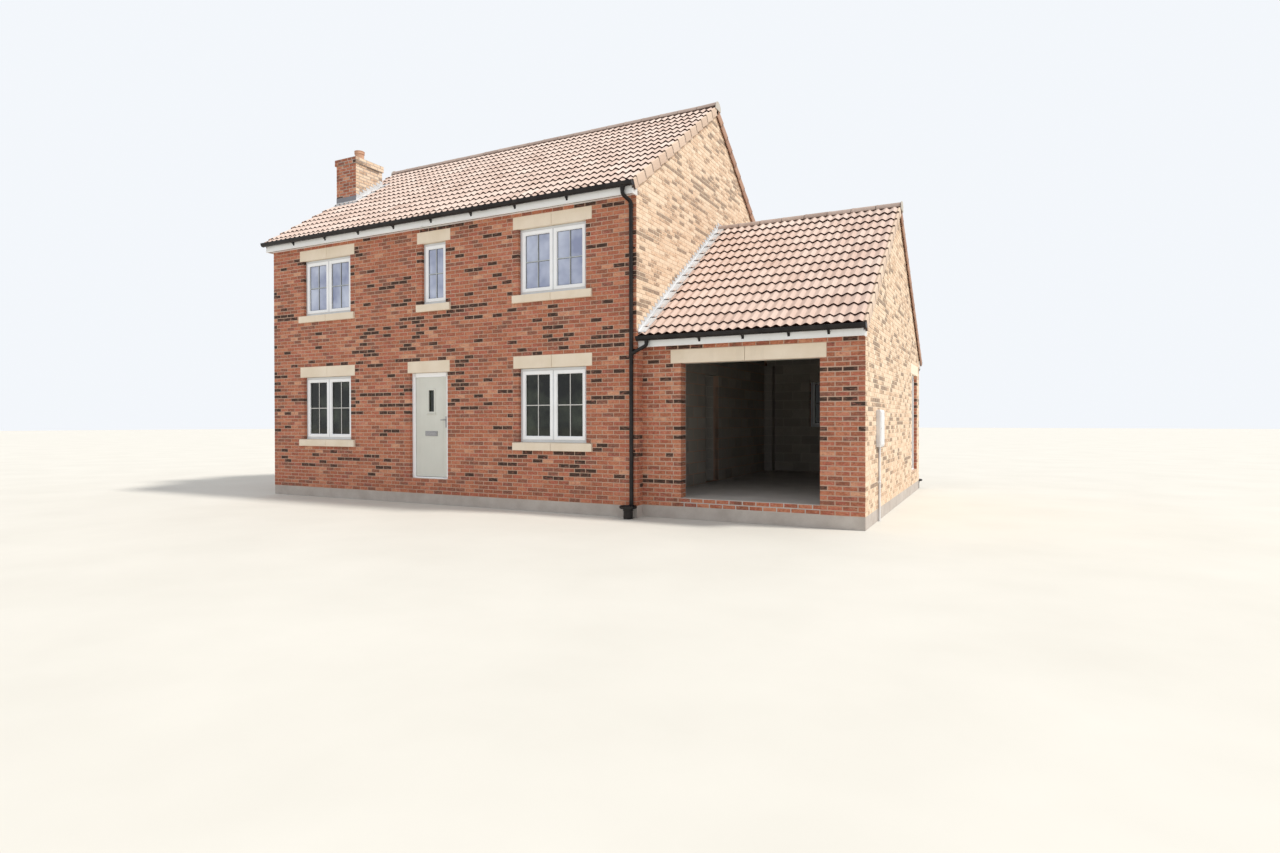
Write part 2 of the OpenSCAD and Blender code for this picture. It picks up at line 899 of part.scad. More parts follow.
// Cap of a right-hand ridge end, with the outer face of the verge at x = 0.
module ridge_cap(half, face_z) {
    r = ridge_r + ridge_cap_lip;
    middle = roof_z(half, face_z, 0) + ridge_rise - ridge_r;
    along_x(seat_gap, ridge_cap_t) translate([0, middle]) {
        intersection() {
            circle(r);
            translate([-r, 0]) square([2 * r, r]);
        }
        translate([-r, -ridge_cap_drop]) square([2 * r, ridge_cap_drop]);
    }
}

module ridge_tiles() {
    color("#8c6656") {
        ridge_run(-hw - verge_w, hw + verge_w, hd, main_z);
        both_sides([1, 0, 0]) translate([hw + verge_w, 0, 0]) ridge_cap(hd, main_z);
        translate([0, garage_mid, 0]) {
            ridge_run(hw + lead_t, garage_right + verge_w, gd, garage_z);
            translate([garage_right + verge_w, 0, 0]) ridge_cap(gd, garage_z);
        }
    }
}

// Saw-toothed side of the verge units between a lower and an upper line.
module verge_outline(half, face_z, drop) {
    tip = -half - eaves_overhang;
    run = -tip / tile_courses;
    top = [for (i = [0:tile_courses - 1], end = [0, 1])
        let (y = tip + (i + end) * run)
        [y, roof_z(half, face_z, y) + verge_lift - end * verge_step]];
    bottom = [for (i = [tile_courses - 1:-1:0], end = [1, 0])
        let (y = tip + (i + end) * run)
        [y, roof_z(half, face_z, y) - drop + (drop > 0 ? end * verge_step : 0)]];
    face = -half - fascia_face;
    difference() {
        polygon(concat(top, bottom));
        translate([tip - cut, 0]) square([face - tip + cut, roof_z(half, face_z, face) - tile_v]);
    }
}

// Verge of the right-hand end of a front slope, with the gable face at x = 0.
module verge(half, face_z) {
    difference() {
        union() {
            along_x(0, verge_w) verge_outline(half, face_z, verge_drop);
            along_x(-verge_lap, verge_w) verge_outline(half, face_z, -seat_gap);
        }
        along_x(-verge_lap - cut, verge_w + cut) ridge_profile(half, face_z, seat_gap);
    }
}

module verge_tiles() {
    color("#d9b29c") {
        difference() {
            both_sides([1, 0, 0]) both_sides([0, 1, 0]) translate([hw, 0, 0]) verge(hd, main_z);
            chimney_space();
        }
        translate([garage_right, garage_mid, 0]) both_sides([0, 1, 0]) verge(gd, garage_z);
        intersection() {
            translate([hw, garage_mid, 0]) mirror([0, 1, 0]) mirror([1, 0, 0]) verge(gd, garage_z);
            block(hw - verge_w, hw + verge_lap, hd, garage_back + eaves_overhang, 0, garage_z + verge_lift);
        }
    }
}

// Eaves

module eaves_profile(half, face_z, soffit_z) {
    face = -half - fascia_face;
    back = face + fascia_t;
    polygon([
        [face, soffit_z - fascia_lip],
        [back, soffit_z - fascia_lip],
        [back, roof_z(half, face_z, back) - tile_v - seat_gap],
        [face, roof_z(half, face_z, face) - tile_v - seat_gap]
    ]);
    translate([back, soffit_z]) square([-half - back, soffit_t]);
}

module box_end_profile(half, face_z, soffit_z) {
    face = -half - fascia_face;
    polygon([
        [face, soffit_z - fascia_lip],
        [-half, soffit_z - fascia_lip],
        [-half, roof_z(half, face_z, half) - verge_drop - seat_gap],
        [face, roof_z(half, face_z, face) - verge_drop - seat_gap]
    ]);
}

module main_eaves() {
    along_x(-hw, hw) eaves_profile(hd, main_z, main_soffit_z);
    both_sides([1, 0, 0]) along_x(hw, hw + box_end_t) box_end_profile(hd, main_z, main_soffit_z);
}

module garage_eaves() {
    along_x(hw, garage_right) eaves_profile(gd, garage_z, garage_soffit_z);
    along_x(garage_right, garage_right + box_end_t) box_end_profile(gd, garage_z, garage_soffit_z);
}

module eaves_boards() {
    color(WHITE) {
        both_sides([0, 1, 0]) main_eaves();
        translate([0, garage_mid, 0]) {
            both_sides([0, 1, 0]) garage_eaves();
            mirror([0, 1, 0]) along_x(hw - box_end_t, hw) box_end_profile(gd, garage_z, garage_soffit_z);
        }
    }
}

// Gutters, drawn for a front eaves

function gutter_top(half, face_z) = roof_z(half, face_z, half + eaves_overhang) - tile_v - gutter_drop;

module trough_outline(r, up) {
    intersection() {
        circle(r);
        translate([-r, -r]) square([2 * r, r]);
    }
    translate([-r, 0]) square([2 * r, up]);
}

module trough(r, t, up) {
    difference() {
        trough_outline(r, up);
        trough_outline(r - t, up + cut);
    }
}

module gutter_run(x0, x1, half, face_z) {
    top = gutter_top(half, face_z);
    translate([0, -half - gutter_out, top - gutter_up]) {
        along_x(x0, x1) trough(gutter_r, gutter_t, gutter_up);
        along_x(x0, x0 + gutter_t) trough_outline(gutter_r, gutter_up);
        along_x(x1 - gutter_t, x1) trough_outline(gutter_r, gutter_up);
    }
}

// Brackets set out from x1, the last of them end away from it.
module gutter_brackets(x0, x1, half, face_z, spacing, end) {
    top = gutter_top(half, face_z);
    last = floor((x1 - x0 - 2 * end) / spacing);
    translate([0, -half - gutter_out, top - gutter_up]) for (i = [0:last]) {
        middle = x1 - end - i * spacing;
        along_x(middle - bracket_w / 2, middle + bracket_w / 2)
            trough(gutter_r + bracket_t, bracket_t, gutter_up - bracket_t);
    }
}

module gutters() {
    garage_gutter_x = hw + gutter_t;
    color(BLACK) {
        both_sides([0, 1, 0]) {
            gutter_run(-hw - gutter_over, hw + gutter_over, hd, main_z);
            gutter_brackets(-hw, hw, hd, main_z, bracket_pitch, bracket_end);
        }
        translate([0, garage_mid, 0]) both_sides([0, 1, 0]) {
            gutter_run(garage_gutter_x, garage_right + gutter_over, gd, garage_z);
            gutter_brackets(hw, garage_right, gd, garage_z, garage_bracket_pitch, garage_bracket_end);
        }
    }
}

// Downpipes: each runs from under its gutter back to the wall and down to a gully.

neck_fall = 150;                           // height of the slanted part of a swan neck
neck_clear = 10;                           // distance of the upper knee below the fascia
clip_d = pipe_d + 12;
elbow_d = pipe_d + 5;                      // elbows are sockets, a little wider than the pipe
clip_w = 30;
gully_rim = 16;                            // width of the rim of a gully dish
gully_floor = 25;                          // depth of the dish inside its rim
riser_d = 160;                             // diameter of the gully below its dish

// Dish whose floor stands at z, on a riser from the ground.
module gully(x, y, z) {
    translate([x, y, 0]) {
        cylinder(h = z, d = riser_d);
        difference() {
            translate([0, 0, z - gully_rim]) cylinder(h = gully_rim + gully_floor, d = gully_d);
            translate([0, 0, z]) cylinder(h = gully_floor + cut, d = gully_d - 2 * gully_rim);
        }
    }
}

module swan_neck_pipe(x, half, face_z, soffit_z) {
    out_y = -half - gutter_out;
    wall_y = -half - pipe_out;
    top_z = gutter_top(half, face_z) - gutter_up - gutter_r;
    knee_z = soffit_z - fascia_lip - neck_clear;
    low_z = base_h + gully_h - gully_floor;
    bent_bar([
        [x, out_y, top_z],
        [x, out_y, knee_z],
        [x, wall_y, knee_z - neck_fall],
        [x, wall_y, low_z]
    ], pipe_d, elbow_d);
    gully(x, -half - pipe_gap - gully_d / 2, low_z);
    count = round((knee_z - neck_fall - low_z) / clip_pitch);
    spacing = (knee_z - neck_fall - low_z) / count;
    for (i = [0:count - 1]) {
        z = low_z + (i + 0.5) * spacing;
        translate([x, wall_y, z - clip_w / 2]) cylinder(h = clip_w, d = clip_d);
        block(x - clip_d / 2, x + clip_d / 2, -half - pipe_gap, -half, z - clip_w / 2, z + clip_w / 2);
    }
}

// Short swan neck that carries the water of the garage gutter into the main downpipe.
module garage_neck() {
    out_y = garage_front - gutter_out;
    wall_y = -hd - pipe_out;
    top_z = gutter_top(gd, garage_z) - gutter_up - gutter_r;
    out_x = hw + pipe_d;
    bent_bar([
        [out_x, out_y, top_z],
        [out_x, out_y, top_z - pipe_d],
        [out_x - pipe_gap, wall_y, top_z - 2 * pipe_d],
        [hw - pipe_inset, wall_y, top_z - 2 * pipe_d - neck_fall]
    ], pipe_d - pipe_gap, elbow_d);
}

module downpipes() {
    color(BLACK) {
        swan_neck_pipe(hw - pipe_inset, hd, main_z, main_soffit_z);
        garage_neck();
        mirror([0, 1, 0]) swan_neck_pipe(-hw + pipe_inset, hd, main_z, main_soffit_z);
        translate([0, garage_mid, 0]) mirror([0, 1, 0])
            swan_neck_pipe(garage_right - pipe_inset, gd, garage_z, garage_soffit_z);
    }
}

// Lead, drawn for a front slope

lead_bed = lead_t / 4;                     // an upstand starts this far up in the sheet on the tiles

// Flashing between y0 and y1 whose top edge steps along the brick joints.
module stepped_profile(half, face_z, y0, y1) {
    low = roof_z(half, face_z, y0) + seat_gap + lead_bed;
    high = roof_z(half, face_z, y1) + seat_gap + lead_bed;
    first = floor((low + lead_up - course - base_h) / course) + 1;
    last = ceil((high + lead_up - base_h) / course) - 1;
    steps = [for (k = [first:last], end = [0, 1])
        let (z = base_h + k * course)
        [min(y1, max(y0, slope_y(half, face_z, z - lead_up + end * course))), z]];
    polygon(concat([[y0, low]], steps, [[y1, high]]));
}

// Lead lying on the tiles between y0 and y1.
module foot_profile(half, face_z, y0, y1) {
    z0 = roof_z(half, face_z, y0) + seat_gap;
    z1 = roof_z(half, face_z, y1) + seat_gap;
    polygon([[y0, z0], [y1, z1], [y1, z1 + lead_t], [y0, z0 + lead_t]]);
}

module abutment_lead(y0) {
    difference() {
        union() {
            along_x(hw, hw + lead_t) stepped_profile(gd, garage_z, y0, 0);
            along_x(hw, hw + lead_foot) foot_profile(gd, garage_z, y0, 0);
        }
        along_x(hw + lead_t, hw + lead_foot + cut) ridge_profile(gd, garage_z, seat_gap);
    }
}

module garage_lead() {
    tip = -gd - eaves_overhang;
    rear = -(hd - garage_mid);
    intersection() {
        translate([0, garage_mid, 0]) {
            abutment_lead(tip);
            mirror([0, 1, 0]) abutment_lead(rear);
        }
        block(hw, hw + lead_foot, -hd, hd, 0, chimney_top);
    }
}

module chimney_lead() {
    right = -hw + chimney_w;
    front_z = roof_z(hd, main_z, chimney_front) + seat_gap;
    back_z = roof_z(hd, main_z, chimney_back + lead_t) + seat_gap;
    along_x(right, right + lead_t) stepped_profile(hd, main_z, chimney_front, chimney_back);
    along_x(right, right + lead_foot) foot_profile(hd, main_z, chimney_front - lead_foot, chimney_back + lead_foot);
    along_x(-hw + verge_lap, right) foot_profile(hd, main_z, chimney_front - lead_foot, chimney_front);
    along_x(-hw + verge_lap, right) foot_profile(hd, main_z, chimney_back, chimney_back + lead_foot);
    block(-hw, right + lead_t, chimney_front - lead_t, chimney_front, front_z + verge_lift, front_z + lead_up);
    block(-hw + verge_lap, right + lead_t, chimney_front - lead_t, chimney_front,
        front_z + lead_bed, front_z + lead_up);
    block(-hw + verge_lap, right + lead_t, chimney_back, chimney_back + lead_t,
        back_z + lead_bed, back_z + lead_up);
}

module lead_flashings() {
    color(LEAD) {
        garage_lead();
        chimney_lead();
    }
}

// Chimney

module chimney_stack() {
    corbel_z = chimney_top - corbel_courses * course;
    color(BRICK) {
        along_x(-hw, -hw + chimney_w) polygon([
            [chimney_front, roof_z(hd, main_z, chimney_front) - roof_v],
            [chimney_back, roof_z(hd, main_z, chimney_back) - roof_v],
            [chimney_back, chimney_top],
            [chimney_front, chimney_top]
        ]);
        block(-hw - corbel_out, -hw + chimney_w + corbel_out, chimney_front - corbel_out, chimney_back + corbel_out,
            corbel_z, chimney_top);
        translate([-hw + chimney_w / 2, (chimney_front + chimney_back) / 2, chimney_top]) difference() {
            cylinder(h = flaunch_h, r1 = pot_d, r2 = pot_d / 2 + 10);
            translate([0, 0, -cut]) cylinder(h = flaunch_h + 2 * cut, d = pot_d);
        }
    }
}

module chimney_pot() {
    r = pot_d / 2;
    rim = 30;
    color(CLAY) translate([-hw + chimney_w / 2, (chimney_front + chimney_back) / 2, chimney_top])
        rotate_extrude() polygon([
            [r, 0],
            [r, flaunch_h],
            [r - rim / 2, pot_h - 2 * rim],
            [r, pot_h - rim],
            [r, pot_h],
            [r - pot_t, pot_h],
            [r - pot_t - rim / 2, pot_h - 2 * rim],
            [r - pot_t, flaunch_h],
            [r - pot_t, 0]
        ]);
}

module meter_box() {
    y0 = garage_front + meter_y;
    z0 = base_h + meter_z;
    frame = 22;
    groove = 4;
    inner = frame + groove;
    color(WHITE) difference() {
        block(garage_right, garage_right + meter_d, y0, y0 + meter_w, z0, z0 + meter_h);
        difference() {
            block(garage_right + meter_d - groove, garage_right + meter_d + cut, y0 + frame, y0 + meter_w - frame,
                z0 + frame, z0 + meter_h - frame);
            block(garage_right, garage_right + meter_d + cut, y0 + inner, y0 + meter_w - inner,
                z0 + inner, z0 + meter_h - inner);
        }
    }
    color(BLACK) translate([garage_right + conduit_d / 2 + pipe_gap, y0 + meter_w / 2, 0]) cylinder(h = z0, d = conduit_d);
}

foundation();
ground_floor();
garage_floor();
first_floor();
front_wall_left();
front_wall_centre();
front_wall_right();
back_wall();
left_gable_wall();
right_gable_wall();
garage_piers();
garage_front_head();
garage_side_wall();
garage_gable();
garage_back_wall();
stone_lintels();
stone_sills();
lower_left_window();
lower_right_window();
upper_left_window();
upper_centre_window();
upper_right_window();
front_glass();
back_windows();
back_glass();
front_door_frame();
front_door_leaf();
front_door_furniture();
front_door_glass();
side_door_frame();
side_door_leaf();
side_door_handle();
main_roof_front();
main_roof_back();
garage_roof_front();
garage_roof_back();
ridge_tiles();
verge_tiles();
eaves_boards();
gutters();
downpipes();
lead_flashings();
chimney_stack();
chimney_pot();
meter_box();
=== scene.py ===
"""Two-storey detached brick house with a single garage at its side.

The origin is the middle of the main house on the underside of its foundation. The front faces -Y and the
garage stands at +X. All lengths are in metres. Walls are built brick by brick, roofs tile by tile.
"""
import math
import random

import bmesh
import bpy
from mathutils import Matrix, Vector


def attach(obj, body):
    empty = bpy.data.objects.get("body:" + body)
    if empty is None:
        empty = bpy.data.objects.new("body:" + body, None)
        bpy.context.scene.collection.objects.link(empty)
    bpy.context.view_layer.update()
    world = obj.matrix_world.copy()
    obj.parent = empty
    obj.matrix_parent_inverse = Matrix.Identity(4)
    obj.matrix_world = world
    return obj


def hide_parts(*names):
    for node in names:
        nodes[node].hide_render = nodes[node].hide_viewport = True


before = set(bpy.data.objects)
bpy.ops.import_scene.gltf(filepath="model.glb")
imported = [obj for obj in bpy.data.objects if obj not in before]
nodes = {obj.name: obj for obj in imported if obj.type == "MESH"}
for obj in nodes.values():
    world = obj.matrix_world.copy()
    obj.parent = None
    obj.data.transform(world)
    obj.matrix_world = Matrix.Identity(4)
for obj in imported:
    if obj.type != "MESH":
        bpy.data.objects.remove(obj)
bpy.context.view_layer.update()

chance = random.Random(11)
QUARTER, HALF_TURN = math.pi / 2, math.pi

# House and garage
HALF_W, HALF_D = 4.6075, 3.7075
BASE, COURSE = 0.200, 0.075
GARAGE_WALL, GARAGE_FLOOR_Z = 0.215, 0.350
GARAGE_FRONT, GARAGE_BACK, GARAGE_MID = -3.4825, 3.9325, 0.225
GARAGE_RIGHT = 8.2975
GARAGE_W = GARAGE_RIGHT - HALF_W

# Openings: middle, width, bottom, head
LOWER_LEFT = (-2.895, 1.450, 1.250, 2.600)
LOWER_RIGHT = (2.895, 1.450, 1.250, 2.600)
UPPER_LEFT = (-2.895, 1.450, 3.950, 5.150)
UPPER_CENTRE = (0.130, 0.620, 3.950, 5.150)
UPPER_RIGHT = (2.895, 1.450, 3.950, 5.150)
HOUSE_WINDOWS = (LOWER_LEFT, LOWER_RIGHT, UPPER_LEFT, UPPER_CENTRE, UPPER_RIGHT)
FRONT_DOOR = (-0.015, 0.985, 0.500, 2.600)
GARAGE_DOORWAY = (6.4725, 2.310, 0.350, 2.600)
GARAGE_WINDOW = (6.4525, 1.450, 1.475, 2.675)
REAR_HOLE = (-GARAGE_WINDOW[0], *GARAGE_WINDOW[1:])
SIDE_DOOR = (2.9725, 1.020, 0.500, 2.675)
PASSAGE = (-0.2075, 0.760, 0.350, 2.675)
REVEAL = 0.065

# Brickwork and stones
BRICK = Vector((0.213, 0.1005, 0.063))
JOINT, BRICK_PROUD = 0.012, 0.004
BLOCK, BLOCK_COURSE = Vector((0.440, 0.100, 0.215)), 0.225
LINTEL_H, SILL_H = 0.225, 0.150
STONE_BEARING, SILL_BEARING = 0.115, 0.120
DOOR_BEARING, SIDE_BEARING = 0.052, 0.165
GARAGE_BEARINGS = 0.180, 0.095

# Chimney
CHIMNEY_X = (-4.6075, -3.9425)
CHIMNEY_Y = (-1.9775, -1.1575)
CHIMNEY_TOP, CORBEL_OUT = 8.075, 0.028

# Roofs
RISE = 0.6975
SLOPE = math.atan(RISE)
OVERHANG, FASCIA = 0.200, 0.175
ROOF_V, TILE_V = 0.180, 0.060
VERGE_W, VERGE_DROP = 0.050, 0.165
TILE_SINK, TILE_LIFT, TILE_THICK = 0.052, 0.028, 0.024
WAVE, CREST = 0.036, 0.625
TILE_RUN, TILE_LAP, VERGE_LAP = 0.285, 0.030, 0.045
TILE_L = TILE_RUN / math.cos(SLOPE)
TILE_TILT = SLOPE - math.atan2(TILE_LIFT, TILE_L)
TILE_COURSES, RIDGE_RUN = 13, 0.030


class Roof:
    """A gable roof between two walls HALF_D from its ridge line, and how its tiles are set out."""

    def __init__(self, x0, x1, face_z, mid, soffit, crown, columns, top, gauge):
        self.x0, self.x1, self.face_z, self.mid, self.soffit = x0, x1, face_z, mid, soffit
        self.crown, self.columns, self.cover = crown, columns, (x1 - x0) / columns
        self.feet = [HALF_D + OVERHANG, *(top + gauge * k for k in reversed(range(TILE_COURSES))), RIDGE_RUN]

    def z(self, y):
        return self.face_z + RISE * (HALF_D - abs(y))

    def reach(self, z):
        """Distance from the ridge line at which the roof's surface is at height z."""
        return HALF_D - (z - self.face_z) / RISE

    def gable_span(self, top):
        """Span of a brick course of the gable, from its lower left corner."""
        near = min(HALF_D, self.reach(top + 0.04))
        return HALF_D - near, HALF_D + near

    def gable_courses(self):
        return range(int((self.z(0) - BASE) / COURSE))

    def foot_z(self, foot, head):
        """Height at which the tiles of the course from foot to head are laid."""
        return self.z(foot) - TILE_SINK + TILE_THICK + TILE_LIFT * (foot - head) / TILE_RUN

    def turned(self, profile, back=False):
        """A (y, z) profile of the front slope, set down on this roof or on its back slope."""
        return [(self.mid - y if back else self.mid + y, z) for y, z in profile]


MAIN = Roof(-HALF_W, HALF_W, 5.7795, 0.0, 5.438, crown=0.054, columns=31, top=0.360, gauge=0.2865)
GARAGE = Roof(HALF_W, GARAGE_RIGHT, 3.2295, GARAGE_MID, 2.898, crown=0.037, columns=12, top=0.343,
              gauge=0.2813)


# Modelling by hand

def put_down():
    """Leaves edit mode and deselects everything."""
    if bpy.context.mode != "OBJECT":
        bpy.ops.object.mode_set(mode="OBJECT")
    bpy.ops.object.select_all(action="DESELECT")


def pick_up(piece):
    put_down()
    piece.select_set(True)
    bpy.context.view_layer.objects.active = piece


def opened():
    """Opens the active piece with all of it selected."""
    bpy.ops.object.mode_set(mode="EDIT")
    bpy.ops.mesh.select_all(action="SELECT")


def pulled(along):
    bpy.ops.mesh.extrude_region_move(TRANSFORM_OT_translate={"value": along})


def closed():
    """Turns all faces outward and leaves edit mode."""
    bpy.ops.mesh.select_all(action="SELECT")
    bpy.ops.mesh.normals_make_consistent(inside=False)
    put_down()


def settle(piece, turn=0.0, at=(0, 0, 0), lean=(0, 0)):
    """Turns a piece, sets it down and moves its place into its mesh."""
    piece.rotation_euler = (*lean, turn)
    piece.location = at
    pick_up(piece)
    bpy.ops.object.transform_apply(location=True, rotation=True, scale=True)
    return piece


def ease(piece, width, segments=1):
    """Takes the sharp edges off a piece."""
    pick_up(piece)
    bevel = piece.modifiers.new("ease", "BEVEL")
    bevel.width = width
    bevel.segments = segments
    bevel.limit_method = "ANGLE"
    bevel.angle_limit = math.radians(40)
    bevel.use_clamp_overlap = True
    bpy.ops.object.modifier_apply(modifier=bevel.name)
    return piece


def block(low, high, edge=0.0, segments=1):
    """A block between two corners, with its edges taken off."""
    low, high = Vector(low), Vector(high)
    put_down()
    bpy.ops.mesh.primitive_cube_add(size=1)
    piece = bpy.context.object
    piece.scale = high - low
    settle(piece, 0, (low + high) / 2)
    return ease(piece, edge, segments) if edge else piece


def outlined(points, fill="NGON"):
    """A closed outline through the points, left open in edit mode."""
    put_down()
    bpy.ops.mesh.primitive_circle_add(vertices=len(points), radius=1, fill_type=fill)
    piece = bpy.context.object
    for corner, place in zip(piece.data.vertices, points):
        corner.co = place
    opened()
    return piece


def drawn(outline, along, edge=0.0):
    """A flat outline drawn out along a direction."""
    piece = outlined(outline)
    pulled(along)
    closed()
    return ease(piece, edge) if edge else piece


def along_x(profile, x0, x1, edge=0.0):
    """A profile of (y, z) corners drawn out from x0 to x1."""
    return drawn([(x0, y, z) for y, z in profile], (x1 - x0, 0, 0), edge)


def ring(low, high, bar, front, back, edge=0.003):
    """A mitred frame in the plane of a wall: a face inset by the width of its bars, opened and drawn back."""
    (x0, z0), (x1, z1) = low, high
    put_down()
    bpy.ops.mesh.primitive_plane_add(size=1)
    piece = bpy.context.object
    piece.scale = (x1 - x0, z1 - z0, 1)
    settle(piece, 0, ((x0 + x1) / 2, front, (z0 + z1) / 2), (QUARTER, 0))
    opened()
    bpy.ops.mesh.inset(thickness=bar)
    bpy.ops.mesh.delete(type="FACE")
    bpy.ops.mesh.select_all(action="SELECT")
    pulled((0, back - front, 0))
    closed()
    return ease(piece, edge, 2) if edge else piece


def spun(outline, middle=(0, 0, 0), steps=32, lean=(0, 0)):
    """A closed outline of (radius, z) corners spun round its axis, then leaned and set down."""
    piece = outlined([(radius, 0, z) for radius, z in outline], "NOTHING")
    bpy.ops.mesh.spin(steps=steps, angle=math.tau, center=(0, 0, 0), axis=(0, 0, 1))
    bpy.ops.mesh.select_all(action="SELECT")
    bpy.ops.mesh.remove_doubles(threshold=0.00005)
    closed()
    return settle(smooth(piece), 0, middle, lean)


def rounded(points, bend, steps=5):
    """The same run of points with its corners rounded."""
    points = [Vector(p) for p in points]
    run = [points[0]]
    for before, corner, after in zip(points, points[1:], points[2:]):
        into, out = (corner - before).normalized(), (after - corner).normalized()
        cut = min(bend, (corner - before).length * 0.48, (after - corner).length * 0.48)
        start, end = corner - into * cut, corner + out * cut
        for i in range(steps + 1):
            t = i / steps
            run.append(start.lerp(corner, t).lerp(corner.lerp(end, t), t))
    return run + [points[-1]]


def tube(points, radius, bend=0.001, sides=6):
    """A round pipe along a run of points."""
    curve = bpy.data.curves.new("tube", "CURVE")
    curve.dimensions = "3D"
    curve.bevel_depth = radius
    curve.bevel_resolution = sides
    curve.use_fill_caps = True
    run = rounded(points, bend)
    spline = curve.splines.new("POLY")
    spline.points.add(len(run) - 1)
    for point, place in zip(spline.points, run):
        point.co = (*place, 1)
    pick_up(placed("tube", curve))
    bpy.ops.object.convert(target="MESH")
    return smooth(bpy.context.object, 50)


def placed(name, data):
    thing = bpy.data.objects.new(name, data)
    bpy.context.scene.collection.objects.link(thing)
    return thing


def smooth(piece, angle=35):
    pick_up(piece)
    bpy.ops.object.shade_smooth_by_angle(angle=math.radians(angle))
    return piece


def joined(parts):
    """Joins parts into the first of them."""
    put_down()
    for part in parts:
        part.select_set(True)
    bpy.context.view_layer.objects.active = parts[0]
    if len(parts) > 1:
        bpy.ops.object.join()
    return parts[0]


def copied(piece, turn=0.0, at=(0, 0, 0)):
    """A copy of a piece with its own mesh, set down in its place."""
    pick_up(piece)
    bpy.ops.object.duplicate()
    return settle(bpy.context.object, turn, at)


def mirrored(piece, x=0.0):
    """Makes a piece its other hand, mirrored in the plane at x."""
    pick_up(piece)
    piece.data.transform(Matrix.Translation((2 * x, 0, 0)) @ Matrix.Diagonal((-1, 1, 1, 1)))
    opened()
    bpy.ops.mesh.flip_normals()
    put_down()
    return piece


def painted(parts, finish):
    """Gives parts their finish before they are joined to others."""
    for part in parts:
        part.data.materials.append(finish)
    return parts


def thrown_away(*parts):
    for part in parts:
        bpy.data.objects.remove(part)


def laying_group():
    """Geometry nodes that lay a shape at every point, in the point's own size and turn."""
    tree = bpy.data.node_groups.new("lay pieces", "GeometryNodeTree")
    face = tree.interface
    face.new_socket("Geometry", in_out="INPUT", socket_type="NodeSocketGeometry")
    shape = face.new_socket("Shape", in_out="INPUT", socket_type="NodeSocketObject")
    face.new_socket("Geometry", in_out="OUTPUT", socket_type="NodeSocketGeometry")
    node, link = tree.nodes.new, tree.links.new
    came_in, goes_out, info = node("NodeGroupInput"), node("NodeGroupOutput"), node("GeometryNodeObjectInfo")
    laying, real = node("GeometryNodeInstanceOnPoints"), node("GeometryNodeRealizeInstances")
    info.inputs["As Instance"].default_value = True
    size, turn = node("GeometryNodeInputNamedAttribute"), node("GeometryNodeInputNamedAttribute")
    for reader, name in ((size, "size"), (turn, "turn")):
        reader.data_type = "FLOAT_VECTOR"
        reader.inputs["Name"].default_value = name
    rotation = node("FunctionNodeEulerToRotation")
    link(came_in.outputs["Geometry"], laying.inputs["Points"])
    link(came_in.outputs["Shape"], info.inputs["Object"])
    link(info.outputs["Geometry"], laying.inputs["Instance"])
    link(size.outputs["Attribute"], laying.inputs["Scale"])
    link(turn.outputs["Attribute"], rotation.inputs[0])
    link(rotation.outputs[0], laying.inputs["Rotation"])
    link(laying.outputs["Instances"], real.inputs["Geometry"])
    link(real.outputs["Geometry"], goes_out.inputs["Geometry"])
    return tree, shape.identifier


LAYING, LAYING_SHAPE = laying_group()


def lay(shape, places):
    """Lays a copy of a shape at each place (point, size, turn, tone) and makes them one mesh."""
    mesh = bpy.data.meshes.new("laid")
    mesh.from_pydata([p[0] for p in places], [], [])
    for column, name in ((1, "size"), (2, "turn")):
        values = [c for p in places for c in p[column]]
        mesh.attributes.new(name, "FLOAT_VECTOR", "POINT").data.foreach_set("vector", values)
    mesh.attributes.new("tone", "FLOAT", "POINT").data.foreach_set("value", [p[3] for p in places])
    piece = placed("laid", mesh)
    laying = piece.modifiers.new("lay", "NODES")
    laying.node_group = LAYING
    laying[LAYING_SHAPE] = shape
    pick_up(piece)
    bpy.ops.object.modifier_apply(modifier=laying.name)
    return piece


def finished(name, parts, finish, slot, replaces=(), body="house"):
    """Joins and names a piece, gives it its finish and body, and hides the nodes it stands for.
    With no finish it keeps those of its parts. Its slot is not used."""
    piece = joined(parts)
    piece.name = name
    if finish:
        piece.data.materials.clear()
        piece.data.materials.append(finish)
    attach(piece, body)
    if replaces:
        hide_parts(*replaces)


def dress(finish, *names):
    """Gives CAD nodes their finish."""
    for name in names:
        for place in nodes[name].material_slots:
            place.material = finish


# Finishes

